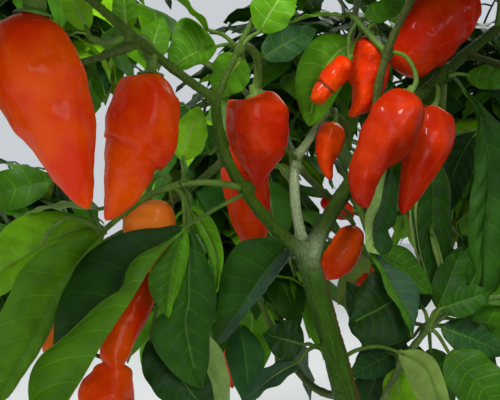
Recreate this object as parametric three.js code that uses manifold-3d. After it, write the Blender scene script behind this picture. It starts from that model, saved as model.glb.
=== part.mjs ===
// A chilli pepper plant in fruit: a leaning main stem that forks in three, boughs that fork again,
// the sprays of large leaves and hanging fruit round the fork, and the masses of foliage at the boughs' tips.
// Millimetres, +Z up, -Y towards the viewer, origin at the middle of the flat cut at ground level.
import * as THREE from 'three';
import { mergeVertices } from 'three/addons/utils/BufferGeometryUtils.js';
import Module from 'manifold-3d';

const wasm = await Module();
wasm.setup();
const { Manifold, Mesh } = wasm;

// The main stem and its first fork
const FORK_HEIGHT = 300;
const FORK_OFFSET = -50;
const STEM_LEAN = -54.5;
const STEM_BEND = 1.72;
const STEM_RADIUS = 5.8;
const STEM_TAPER = 1.2;
const FORK_SWELLING = 1;
const FOOT_RADIUS = 12;
const FLARE_RADIUS = 15;
const STEM_SIDES = 10;
const STEM_RINGS = 8;

// The front view that places are read in: [right of the fork, above it, behind it]. It is taken from
// EYE_DISTANCE away, level with EYE_AXIS, so right and up are sizes as seen at the fork's own depth.
const EYE_DISTANCE = 480;
const EYE_AXIS = { right: -35, up: 27 };

// The crown and the side of it that stands open towards the viewer
const CROWN_MIDDLE = new THREE.Vector3(-45, 10, 450);
const CROWN_HALF = new THREE.Vector3(350, 335, 335);
const CROWN_POWER = 2.7;
const OPEN_SIDE = { left: -195, right: 124, low: -104, high: 156, depth: 92 };

// Clearances
const GAP = 0.3;
const SPACE_MARGIN = 1.2;
const LIMB_CLEARANCE = 7;
const TWIG_CLEARANCE = 2;

// Growth of a mass of foliage from its stem
const STEPS = [62, 56, 50];
const TWIG_RADII = [2.9, 2.5, 2.1, 1.7];
const FORK_ANGLE = 0.6;
const LIFT = 0.12;
const TRIES = 7;
const LEAF_LENGTH = 88;
const LEAF_SPREAD = 34;
const LEAF_WIDTH_SHARE = 0.46;
const LEAF_FOLD = 0.12;
const SPACING = 7;
const PETIOLE = 20;
const STALK_RADIUS = 0.8;
const FRUIT_LENGTH = 52;
const FRUIT_WIDTH_SHARE = 0.56;
const FRUIT_CHANCE = 0.4;

const PALETTE = {
  stem: new THREE.MeshStandardMaterial({ color: 0x5c7a33, roughness: 0.6, metalness: 0 }),
  bough: new THREE.MeshStandardMaterial({ color: 0x4f7332, roughness: 0.55, metalness: 0 }),
  leaf: new THREE.MeshStandardMaterial({ color: 0x2f6a1c, roughness: 0.5, metalness: 0 }),
  fruit: new THREE.MeshStandardMaterial({ color: 0xd9320c, roughness: 0.25, metalness: 0 }),
};

// A place in the front view as a place in the part's own frame.
function place([right, up, back]) {
  const spread = 1 + back / EYE_DISTANCE;
  return new THREE.Vector3(
    FORK_OFFSET + EYE_AXIS.right + (right - EYE_AXIS.right) * spread,
    back,
    FORK_HEIGHT + EYE_AXIS.up + (up - EYE_AXIS.up) * spread,
  );
}

// The same turned round: where a point is seen in the front view.
function seen(point) {
  const spread = 1 + point.y / EYE_DISTANCE;
  return {
    right: EYE_AXIS.right + (point.x - FORK_OFFSET - EYE_AXIS.right) / spread,
    up: EYE_AXIS.up + (point.z - FORK_HEIGHT - EYE_AXIS.up) / spread,
    back: point.y,
  };
}

// The same numbers between 0 and 1 each time, for one seed.
function numbersFrom(seed) {
  let state = seed * 7919 + 1;
  return () => {
    state = (state * 16807) % 2147483647;
    return state / 2147483647;
  };
}

function solidFrom(positions, index) {
  let volume = 0;
  for (let i = 0; i < index.length; i += 3) {
    const [a, b, c] = [0, 1, 2].map((k) => new THREE.Vector3().fromArray(positions, index[i + k] * 3));
    volume += a.dot(b.cross(c));
  }
  if (volume < 0) index.reverse();
  const geometry = new THREE.BufferGeometry();
  geometry.setAttribute('position', new THREE.Float32BufferAttribute(positions, 3));
  geometry.setIndex(index);
  const merged = mergeVertices(geometry, 1e-4);
  return new Manifold(
    new Mesh({
      numProp: 3,
      vertProperties: merged.attributes.position.array,
      triVerts: new Uint32Array(merged.index.array),
    }),
  );
}

// A closed skin over rings of points, each with the same number of points or a single one at a tip.
function loft(rings) {
  const positions = rings.flatMap((ring) => ring.flatMap((p) => [p.x, p.y, p.z]));
  const index = [];
  let start = 0;
  for (let k = 0; k + 1 < rings.length; k++) {
    const [low, high] = [rings[k].length, rings[k + 1].length];
    const next = start + low;
    const sides = Math.max(low, high);
    for (let i = 0; i < sides; i++) {
      const j = (i + 1) % sides;
      if (low > 1) index.push(start + i, start + j, next + (i % high));
      if (high > 1) index.push(start + (j % low), next + j, next + i);
    }
    start = next;
  }
  for (let i = 1; i + 1 < rings[0].length; i++) index.push(0, i + 1, i);
  for (let i = 1; i + 1 < rings.at(-1).length; i++) index.push(start, start + i, start + i + 1);
  return solidFrom(positions, index);
}

// Rings of a round rod along a line of points, turned as little as possible from one to the next.
function rodRings(points, radii, sides) {
  const across = new THREE.Vector3(1, 0.37, 0.11);
  return points.map((point, k) => {
    const before = points[Math.max(k - 1, 0)];
    const after = points[Math.min(k + 1, points.length - 1)];
    const along = after.clone().sub(before).normalize();
    across.addScaledVector(along, -across.dot(along)).normalize();
    const other = along.clone().cross(across);
    return Array.from({ length: sides }, (_, i) => {
      const turn = (2 * Math.PI * i) / sides;
      return point
        .clone()
        .addScaledVector(across, radii[k] * Math.cos(turn))
        .addScaledVector(other, radii[k] * Math.sin(turn));
    });
  });
}

function rod(points, radii, sides) {
  return loft(rodRings(points, radii, sides));
}

// The limbs. Each bough runs from one place to another, bowed by the third, and tapers.
const BOUGHS = [
  { name: 'bough_right', from: [-1.5, -3, 0], to: [132, 142, 78], bow: [-11, 9, -8], radii: [5.6, 3.4] },
  { name: 'bough_left', from: [-3, -4, 0], to: [-54, 83, -25], bow: [-13, -2, 2], radii: [4.3, 3.3] },
  { name: 'bough_middle', from: [-5, 1, 4], to: [-10, 50, 26], bow: [-2, 0, 2], radii: [3.8, 3.4] },
  { name: 'bough_left_high', from: [-54, 83, -25], to: [-157, 170, -142], bow: [4, -7, 10], radii: [3.1, 2.3] },
  { name: 'bough_left_top', from: [-54, 83, -25], to: [-12, 166, 2], bow: [0, 4, -2], radii: [2.3, 2.1] },
  { name: 'bough_top', from: [-10, 50, 26], to: [30, 190, 96], bow: [8, -14, 2], radii: [3.2, 2.4] },
  { name: 'bough_right_top', from: [37, 57, 21], to: [74, 168, -18], bow: [-14, -4, 2], radii: [3.2, 2.4] },
  { name: 'bough_left_front', from: [-96, 115, -68], to: [-206, 96, -104], bow: [4, -5, 2], radii: [2.2, 2.1] },
  { name: 'bough_left_low', from: [-47, 52, -14], to: [-192, -26, 110], bow: [10, -6, -16], radii: [2.6, 2.2] },
  { name: 'bough_back_left', from: [-10, 50, 26], to: [-96, 112, 150], bow: [4, 16, 6], radii: [2.8, 2.3] },
  { name: 'bough_back_right', from: [-9, 47, 24], to: [66, 30, 160], bow: [1, -20, -8], radii: [2.6, 2.2] },
  { name: 'bough_back', from: [-10, 50, 26], to: [-14, 66, 190], bow: [-6, 14, 0], radii: [2.7, 2.3] },
  { name: 'bough_back_high', from: [24, 150, 78], to: [-20, 178, 190], bow: [-4, -6, 4], radii: [2.3, 2.1] },
  { name: 'bough_right_front', from: [86, 108, 50], to: [152, 62, -58], bow: [4, 8, -8], radii: [2.6, 2.2] },
  { name: 'shoot_right', from: [25, -126, 0], to: [134, -36, 36], bow: [-9, 41, 0], radii: [3.2, 2.4] },
  { name: 'shoot_back', from: [17, -82, 0], to: [-30, -28, 120], bow: [0, -16, 4], radii: [3, 2.3] },
  { name: 'shoot_front', from: [28, -140, 0], to: [18, -150, -95], bow: [0, -12, 0], radii: [3, 2.3] },
];
const BOUGH_SIDES = 6;
const BOUGH_STEP = 30;
const LINE_STEP = 4;

function bowed(from, to, bow, share) {
  const middle = from.map((value, k) => (value + to[k]) / 2 + 2 * bow[k]);
  return from.map(
    (value, k) => (1 - share) ** 2 * value + 2 * share * (1 - share) * middle[k] + share ** 2 * to[k],
  );
}

function boughLine(bough, pieces) {
  return Array.from({ length: pieces + 1 }, (_, k) => place(bowed(bough.from, bough.to, bough.bow, k / pieces)));
}

function boughLength(bough) {
  const line = boughLine(bough, 16);
  return line.reduce((sum, point, k) => sum + (k ? point.distanceTo(line[k - 1]) : 0), 0);
}

function taper(radii, share) {
  return radii[0] + (radii[1] - radii[0]) * share;
}

// The main stem stands nearly upright at its foot and leans the more the higher it goes.
function stemPoint(share) {
  const lean = STEM_LEAN * share ** STEM_BEND;
  return new THREE.Vector3(lean, 0, FORK_HEIGHT * share);
}

function stemRadius(share) {
  const flare = (FLARE_RADIUS - FOOT_RADIUS) * Math.exp(-share * 18);
  const swelling = FORK_SWELLING * Math.exp(-(((share - 0.98) / 0.05) ** 2));
  return STEM_RADIUS + (FOOT_RADIUS - STEM_RADIUS) * (1 - share) ** STEM_TAPER + flare + swelling;
}

// Where along the main stem its rings stand: close together at the flare and under the fork.
const STEM_SHARES = Array.from({ length: STEM_RINGS + 1 }, (_, k) => {
  const even = k / STEM_RINGS;
  return even - 0.09 * Math.sin(2 * Math.PI * even);
});

function stemSolid(extra) {
  const points = STEM_SHARES.map(stemPoint);
  const radii = STEM_SHARES.map((share) => stemRadius(share) + extra);
  const rings = rodRings(points, radii, STEM_SIDES);
  for (const corner of rings[0]) corner.z = 0;
  const crest = stemPoint(1).add(new THREE.Vector3(-0.6, 0, 4 + extra));
  const shoulder = rodRings([stemPoint(1), crest], [0, (STEM_RADIUS + extra) * 0.62], STEM_SIDES)[1];
  return loft([...rings, shoulder]);
}

function boughSolid(bough, extra) {
  const pieces = Math.max(2, Math.round(boughLength(bough) / BOUGH_STEP));
  const line = boughLine(bough, pieces);
  const radii = line.map((_, k) => taper(bough.radii, k / pieces) + extra);
  return rod(line, radii, BOUGH_SIDES);
}

// Every limb as points along its middle, for keeping twigs and leaves off it.
const limbPoints = [];
for (let height = 0; height <= FORK_HEIGHT; height += LINE_STEP) {
  const share = height / FORK_HEIGHT;
  limbPoints.push({ limb: 'stem', point: stemPoint(share), radius: stemRadius(share) });
}
for (const bough of BOUGHS) {
  const pieces = Math.ceil(boughLength(bough) / LINE_STEP);
  boughLine(bough, pieces).forEach((point, k) => {
    limbPoints.push({ limb: bough.name, point, radius: taper(bough.radii, k / pieces) });
  });
}

function clearOfLimbs(points, clearance, except) {
  return limbPoints.every(
    ({ limb, point, radius }) =>
      limb === except || points.every((p) => p.distanceTo(point) > radius + clearance),
  );
}

// Half the width of a leaf's blade, as a share of its greatest, from its base at 0 to its tip at 1.
function bladeShare(share) {
  return (share ** 0.62 * (1 - share)) / (0.38 ** 0.62 * 0.62);
}

// The girth of a fruit, as a share of its greatest, from its shoulder at 0 to its tip at 1.
function fruitShare(share) {
  return (share ** 0.28 * (1 - share) ** 0.85) / (0.248 ** 0.28 * 0.752 ** 0.85);
}

function curve(from, middle, to, share) {
  return from
    .clone()
    .multiplyScalar((1 - share) ** 2)
    .addScaledVector(middle, 2 * share * (1 - share))
    .addScaledVector(to, share ** 2);
}

// The line of a leaf's midrib, the way across it and the way its upper side faces.
function bladeFrame(leaf, share) {
  const middle = leaf.base.clone().add(leaf.tip).multiplyScalar(0.5);
  middle.addScaledVector(leaf.face, 2 * leaf.bow);
  const point = curve(leaf.base, middle, leaf.tip, share);
  const along = middle
    .clone()
    .sub(leaf.base)
    .multiplyScalar(1 - share)
    .addScaledVector(leaf.tip.clone().sub(middle), share)
    .normalize();
  const across = along.clone().cross(leaf.face).normalize();
  return { point, across, up: across.clone().cross(along) };
}

// A leaf as a solid: a thin three-sided stalk that widens into a blade folded up along its midrib.
function leafSolid(leaf, shares) {
  const thin = leaf.tip.distanceTo(leaf.base) * 0.012;
  const stalk = leaf.base.clone().sub(leaf.from).normalize();
  const side = bladeFrame(leaf, shares[0]).across;
  side.addScaledVector(stalk, -side.dot(stalk)).normalize();
  const top = side.clone().cross(stalk);
  const rings = [
    [
      leaf.from.clone().addScaledVector(side, -STALK_RADIUS).addScaledVector(top, STALK_RADIUS / 2),
      leaf.from.clone().addScaledVector(top, -STALK_RADIUS),
      leaf.from.clone().addScaledVector(side, STALK_RADIUS).addScaledVector(top, STALK_RADIUS / 2),
    ],
  ];
  for (const share of shares) {
    const { point, across, up } = bladeFrame(leaf, share);
    const half = Math.max(0.9, (leaf.width / 2) * bladeShare(share));
    const reach = half * Math.cos(leaf.fold);
    const rise = half * Math.sin(leaf.fold);
    rings.push([
      point.clone().addScaledVector(across, -reach).addScaledVector(up, rise),
      point.clone().addScaledVector(up, -thin),
      point.clone().addScaledVector(across, reach).addScaledVector(up, rise),
    ]);
  }
  rings.push([leaf.tip.clone()]);
  return loft(rings);
}

// A hanging fruit: its stalk, which thickens to the calyx, and its body, widest near the shoulder.
function fruitSolid(fruit, sides, shares, stalkSides) {
  const axis = fruit.tip.clone().sub(fruit.top);
  const middle = fruit.top.clone().add(fruit.tip).multiplyScalar(0.5).addScaledVector(fruit.bow, 2);
  const centres = shares.map((share) => curve(fruit.top, middle, fruit.tip, share));
  const radii = shares.map((share) => (fruit.width / 2) * fruitShare(share));
  const body = loft([[fruit.top.clone()], ...rodRings(centres, radii, sides), [fruit.tip.clone()]]);
  const sunk = fruit.top.clone().addScaledVector(axis, 0.06);
  const bend = fruit.from.clone().lerp(fruit.top, 0.45);
  bend.z = Math.max(fruit.from.z, fruit.top.z) + 1.5;
  const stalk = rod([fruit.from, bend, sunk], [1.3, 1.5, 3.2], stalkSides);
  return body.add(stalk);
}

// The ways a leaf's upper side can face: [right, up, back].
const FACES = {
  viewer: [0, 0.25, -1],
  away: [0.1, 0.3, 1],
  sky: [0, 1, -0.25],
  left: [-1, 0.3, -0.1],
  right: [1, 0.3, -0.3],
  upLeft: [-0.74, 0.5, -0.45],
};

// The sprays and fruits round the fork. A spray starts from a swollen node round its limb, [place, radius],
// or from a single stalk. Its twigs run through the places given. Each leaf is [place it grows from,
// blade's base, its tip, width, facing, fold], and each fruit [place, shoulder, tip, width, bow].
const SPRAYS = [
  {
    name: 'spray_left',
    node: [[-37, 33, -9], 6.4],
    twigs: [
      [[-37, 33, -9], [-49, 36, -16], [-60, 37, -20], [-74, 36, -24]],
      [[-74, 36, -24], [-91, 30, -20], [-105, 20, -18], [-118, 9, -20]],
      [[-118, 9, -20], [-128, -22, -18], [-126, -52, -20]],
    ],
    leaves: [
      [[-38, 33, -9], [-78, 6, -40], [-152, -107, -66], 66, 'upLeft', 0.8],
      [[-70, 36, -23], [-68, 13, -15], [-65, -82, -12], 34, 'viewer', 0.2],
      [[-77, 35, -23], [-73, 27, -26], [-81, -39, -28], 24, 'viewer', 0.2],
      [[-67, 36, -22], [-70, 26, -10], [-55, -25, -4], 18, 'viewer', 0.2],
      [[-72, 37, -24], [-73, 49, -17], [-63, 80, -8], 20, 'viewer', 0.2],
      [[-118, 9, -20], [-119, 8, -22], [-185, -99, -26], 28, 'viewer', 0.2],
      [[-116, 11, -20], [-125, 17, -8], [-189, -29, -6], 24, 'viewer', 0.2],
      [[-126, -52, -20], [-91, -50, -4], [-54, -99, -10], 32, 'viewer', 0.2],
    ],
    fruits: [
      [[-83, 33, -22], [-91, 26, -4], [-90, -8, -6], 26, [0, 0, 0]],
      [[-80, 34, -22], [-81, 3, 22], [-112, -66, 12], 19, [0, 0, 0]],
      [[-126, -52, -20], [-115, -63, -24], [-119, -108, -28], 30, [0, 0, 0]],
      [[-126, -52, -20], [-141, -21, -10], [-150, -58, -14], 15, [0, 0, 0]],
    ],
  },
  {
    name: 'leaf_left_inner',
    twigs: [],
    leaves: [[[-49, 56, -16], [-57, 53, 0], [-70, 72, 12], 20, 'viewer', 0.2]],
    fruits: [],
  },
  {
    name: 'fruit_left_near',
    twigs: [],
    leaves: [],
    fruits: [[[-144, 158, -125], [-156, 132, -150], [-127, 23, -150], 40, [3, 2, 0]]],
  },
  {
    name: 'fruit_left',
    twigs: [],
    leaves: [],
    fruits: [[[-98, 114, -68], [-90, 97, -62], [-113, 17, -72], 37, [4, 3, 0]]],
  },
  {
    name: 'spray_left_high',
    node: [[-103, 119, -74], 5.2],
    twigs: [[[-103, 120, -74], [-114, 115, -78], [-125, 118, -80]]],
    leaves: [
      [[-103, 120, -74], [-104, 122, -62], [-106, 147, -62], 13, 'viewer', 0.2],
      [[-103, 120, -74], [-102, 111, -54], [-118, 121, -48], 16, 'viewer', 0.2],
      [[-103, 120, -74], [-92, 104, -44], [-84, 130, -34], 17, 'viewer', 0.2],
      [[-125, 118, -80], [-126, 122, -80], [-139, 149, -84], 13, 'viewer', 0.2],
    ],
    fruits: [],
  },
  {
    name: 'spray_inner',
    node: [[-41, 111, -19], 4.8],
    twigs: [],
    leaves: [
      [[-41, 111, -19], [-39, 107, -10], [-55, 84, 2], 24, 'viewer', 0.2],
      [[-41, 111, -19], [-30, 121, -18], [-10, 152, -24], 24, 'viewer', 0.2],
      [[-41, 111, -19], [-58, 122, -30], [-86, 146, -42], 22, 'sky', 0.2],
      [[-41, 111, -19], [-54, 115, -16], [-80, 98, -44], 28, 'away', 0.2],
    ],
    fruits: [[[-41, 111, -19], [-32, 88, 18], [-35, 30, 22], 36, [1, 0, 0]]],
  },
  {
    name: 'fruit_behind_left',
    twigs: [],
    leaves: [],
    fruits: [[[-9, 46, 24], [-38, 56, 58], [-32, -5, 54], 29, [-2, 0, 0]]],
  },
  {
    name: 'spray_middle',
    node: [[7, 77, 46], 5.4],
    twigs: [[[7, 77, 46], [18, 70, 46], [21, 56, 48]]],
    leaves: [[[21, 56, 48], [26, 50, 60], [34, 6, 60], 20, 'viewer', 0.2]],
    fruits: [[[7, 77, 46], [10, 68, 34], [10, 38, 30], 18, [-2, 0, 0]]],
  },
  {
    name: 'leaf_fork_back',
    twigs: [],
    leaves: [[[-5, 12, 9], [-16, 4, 22], [-54, -56, 22], 28, 'viewer', 0.3]],
    fruits: [],
  },
  {
    name: 'spray_right_inner',
    twigs: [[[20, 32, 12], [27, 20, 14], [32, 6, 10], [40, -14, 8]]],
    leaves: [
      [[32, 6, 10], [31, -1, 2], [56, -55, -12], 28, 'right', 0.3],
      [[33, 5, 11], [30, -4, 40], [14, -32, 46], 17, 'away', 0.2],
      [[34, 2, 9], [36, -1, 18], [59, -8, 24], 16, 'viewer', 0.2],
      [[38, -9, 8], [51, -23, 16], [20, -44, 4], 34, 'viewer', 0.2],
    ],
    fruits: [],
  },
  {
    name: 'fruit_fork_right',
    twigs: [],
    leaves: [],
    fruits: [[[13, 21, 8], [20, 14, 31], [5, -17, 27], 22, [6, -2, 0]]],
  },
  {
    name: 'spray_right_upright',
    node: [[42, 109, 5], 5.2],
    twigs: [[[42, 109, 5], [34, 117, 8], [25, 127, 10], [21, 131, 12]]],
    leaves: [
      [[25, 127, 10], [21, 117, 19], [-1, 67, 23], 24, 'viewer', 0.2],
      [[21, 131, 12], [18, 130, 14], [-14, 126, 20], 22, 'sky', 0.2],
      [[25, 127, 10], [29, 128, 18], [55, 138, 30], 14, 'viewer', 0.2],
    ],
    fruits: [
      [[42, 109, 5], [56, 85, -10], [29, 23, -22], 31, [-7, -2, 0]],
      [[28, 124, 10], [34, 119, 22], [19, 73, 24], 19, [2, 2, 0]],
      [[25, 127, 10], [18, 109, 8], [3, 84, 8], 16, [0, 0, 0]],
    ],
  },
  {
    name: 'fruit_right_high',
    twigs: [],
    leaves: [],
    fruits: [[[103, 122, 60], [95, 150, 34], [45, 101, 32], 36, [0, 0, 0]]],
  },
  {
    name: 'leaf_right_inner',
    twigs: [],
    leaves: [[[33, 54, 20], [36, 49, 2], [41, -8, -10], 18, 'viewer', 0.3]],
    fruits: [],
  },
  {
    name: 'spray_right',
    node: [[74, 98, 44], 8],
    twigs: [[[74, 98, 44], [72, 60, 64], [69, 20, 62], [68, 8, 56]]],
    leaves: [
      [[76, 96, 38], [86, 97, 38], [114, 91, 30], 16, 'viewer', 0.2],
      [[74, 97, 43], [91, 75, 44], [104, -38, 38], 44, 'viewer', 0.2],
      [[72, 63, 63], [66, 66, 50], [73, -35, 44], 25, 'viewer', 0.2],
      [[68, 8, 56], [70, 4, 58], [76, -39, 60], 30, 'viewer', 0.2],
    ],
    fruits: [],
  },
  {
    name: 'fruit_right',
    twigs: [],
    leaves: [],
    fruits: [[[67, 91, 38], [70, 81, 26], [50, 18, 10], 26, [3, 0, 0]]],
  },
  {
    name: 'leaf_stem_right',
    twigs: [],
    leaves: [[[17, -61, 0], [50, -58, -14], [76, -99, -24], 23, 'away', 0.3]],
    fruits: [],
  },
  {
    name: 'spray_shoot_low',
    node: [[50, -64, 11], 5],
    twigs: [],
    leaves: [
      [[50, -64, 11], [47, -67, 16], [50, -103, 16], 20, 'viewer', 0.2],
      [[50, -64, 11], [46, -58, 24], [20, -72, 28], 19, 'viewer', 0.2],
    ],
    fruits: [],
  },
  {
    name: 'spray_shoot_high',
    node: [[65, -44, 16], 5],
    twigs: [],
    leaves: [
      [[65, -44, 16], [76, -58, 8], [112, -99, -6], 28, 'viewer', 0.2],
      [[65, -44, 16], [76, -46, 20], [110, -58, 16], 18, 'viewer', 0.2],
      [[66, -44, 13], [72, -34, 14], [99, -22, 12], 18, 'viewer', 0.2],
    ],
    fruits: [],
  },
  {
    name: 'spray_stem_left',
    twigs: [[[13, -56, 0], [0, -55, 8]]],
    leaves: [
      [[1, -55, 7], [-5, -54, 12], [-28, -48, 16], 24, 'viewer', 0.2],
      [[1, -55, 7], [-8, -64, 8], [-40, -88, 2], 20, 'sky', 0.2],
    ],
    fruits: [],
  },
];

function facing(name) {
  const [right, up, back] = FACES[name];
  return new THREE.Vector3(right, back, up).normalize();
}

// A row of a spray's leaves or fruits, in the part's own frame.
function shownLeaf([from, base, tip, width, face, fold]) {
  const leaf = { from: place(from), base: place(base), tip: place(tip), width, face: facing(face), fold };
  leaf.bow = leaf.base.distanceTo(leaf.tip) * 0.08;
  return leaf;
}

function shownFruit([from, top, tip, width, [right, up, back]]) {
  return { from: place(from), top: place(top), tip: place(tip), width, bow: new THREE.Vector3(right, back, up) };
}

// The masses of foliage: each goes on from its bough's tip and keeps to the space that lies nearer to its
// own middle than to any other's.
const MASSES = [
  { name: 'foliage_right', bough: 'bough_right', middle: [210, 100, 500], seed: 31 },
  { name: 'foliage_left_high', bough: 'bough_left_high', middle: [-185, -190, 510], seed: 12 },
  { name: 'foliage_left_top', bough: 'bough_left_top', middle: [-125, -10, 600], seed: 13 },
  { name: 'foliage_top', bough: 'bough_top', middle: [15, 90, 655], seed: 14 },
  { name: 'foliage_right_top', bough: 'bough_right_top', middle: [70, -90, 560], seed: 15 },
  { name: 'foliage_left_front', bough: 'bough_left_front', middle: [-290, -110, 390], seed: 16 },
  { name: 'foliage_left_low', bough: 'bough_left_low', middle: [-270, 160, 320], seed: 37 },
  { name: 'foliage_back_left', bough: 'bough_back_left', middle: [-255, 170, 490], seed: 18 },
  { name: 'foliage_back', bough: 'bough_back', middle: [-60, 275, 460], seed: 25 },
  { name: 'foliage_back_right', bough: 'bough_back_right', middle: [120, 210, 380], seed: 19 },
  { name: 'foliage_back_high', bough: 'bough_back_high', middle: [-90, 230, 610], seed: 20 },
  { name: 'foliage_right_front', bough: 'bough_right_front', middle: [165, -120, 380], seed: 44 },
  { name: 'foliage_right_low', bough: 'shoot_right', middle: [190, 50, 290], seed: 21 },
  { name: 'foliage_back_low', bough: 'shoot_back', middle: [-100, 210, 280], seed: 42 },
  { name: 'foliage_front_low', bough: 'shoot_front', middle: [-40, -160, 190], seed: 23 },
];

for (const mass of MASSES) {
  const bough = BOUGHS.find(({ name }) => name === mass.bough);
  const line = boughLine(bough, 24);
  mass.middle = new THREE.Vector3(...mass.middle);
  mass.direction = line[24].clone().sub(line[23]).normalize();
  mass.start = line[24].clone().addScaledVector(mass.direction, GAP);
  mass.direction.add(mass.middle.clone().sub(mass.start).normalize()).normalize();
}

// The crown is a little squarer than a ball.
function inCrown(point) {
  const share = point.clone().sub(CROWN_MIDDLE).divide(CROWN_HALF);
  return Math.abs(share.x) ** CROWN_POWER + Math.abs(share.y) ** CROWN_POWER + Math.abs(share.z) ** CROWN_POWER < 1;
}

function inOwnSpace(point, mass) {
  const own = point.distanceTo(mass.middle);
  return MASSES.every((other) => {
    if (other === mass) return true;
    const apart = other.middle.distanceTo(mass.middle);
    const away = point.distanceTo(other.middle);
    return (away ** 2 - own ** 2) / (2 * apart) > SPACE_MARGIN;
  });
}

// Whether all the points lie past one of the planes round the open side, or behind it.
function clearOfOpenSide(points) {
  const views = points.map(seen);
  return (
    views.every(({ back }) => back > OPEN_SIDE.depth) ||
    views.every(({ right }) => right < OPEN_SIDE.left) ||
    views.every(({ right }) => right > OPEN_SIDE.right) ||
    views.every(({ up }) => up < OPEN_SIDE.low) ||
    views.every(({ up }) => up > OPEN_SIDE.high)
  );
}

function fits(points, mass, clearance, except) {
  return (
    points.every(inCrown) &&
    points.every((point) => inOwnSpace(point, mass)) &&
    clearOfOpenSide(points) &&
    clearOfLimbs(points, clearance, except)
  );
}

// Points all over a leaf's blade and along its stalk.
function leafPoints(leaf) {
  const points = [leaf.base, leaf.tip];
  for (let k = 1; k < 10; k++) {
    const { point, across, up } = bladeFrame(leaf, k / 10);
    const half = (leaf.width / 2) * bladeShare(k / 10);
    points.push(point);
    for (const side of [-1, -0.5, 0.5, 1]) {
      points.push(
        point
          .clone()
          .addScaledVector(across, side * half * Math.cos(leaf.fold))
          .addScaledVector(up, Math.abs(side) * half * Math.sin(leaf.fold)),
      );
    }
  }
  return points;
}

function fruitPoints(fruit) {
  const points = [fruit.tip];
  for (let k = 0; k < 5; k++) {
    const share = k / 5;
    const centre = fruit.top.clone().lerp(fruit.tip, share);
    const radius = (fruit.width / 2) * Math.max(0.3, fruitShare(share));
    for (let i = 0; i < 8; i++) {
      const turn = (Math.PI * i) / 4;
      points.push(centre.clone().add(new THREE.Vector3(radius * Math.cos(turn), radius * Math.sin(turn), 0)));
    }
  }
  return points;
}

function leafAt(node, heading, pitch, length, random) {
  const way = new THREE.Vector3(Math.cos(heading), Math.sin(heading), 0);
  const out = way.clone().multiplyScalar(Math.cos(pitch)).add(new THREE.Vector3(0, 0, Math.sin(pitch)));
  const down = pitch - 0.5 - 0.5 * random();
  const along = way.clone().multiplyScalar(Math.cos(down)).add(new THREE.Vector3(0, 0, Math.sin(down)));
  const face = way.clone().multiplyScalar(-Math.sin(down)).add(new THREE.Vector3(0, 0, Math.cos(down)));
  const base = node.clone().addScaledVector(out, PETIOLE * (0.8 + 0.5 * random()));
  const tip = base.clone().addScaledVector(along, length);
  const roll = (random() - 0.5) * 0.7;
  const across = along.clone().cross(face);
  face.multiplyScalar(Math.cos(roll)).addScaledVector(across, Math.sin(roll));
  const width = length * LEAF_WIDTH_SHARE * (0.88 + 0.24 * random());
  return { from: node.clone(), base, tip, width, face, fold: LEAF_FOLD, bow: length * 0.1 };
}

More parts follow.
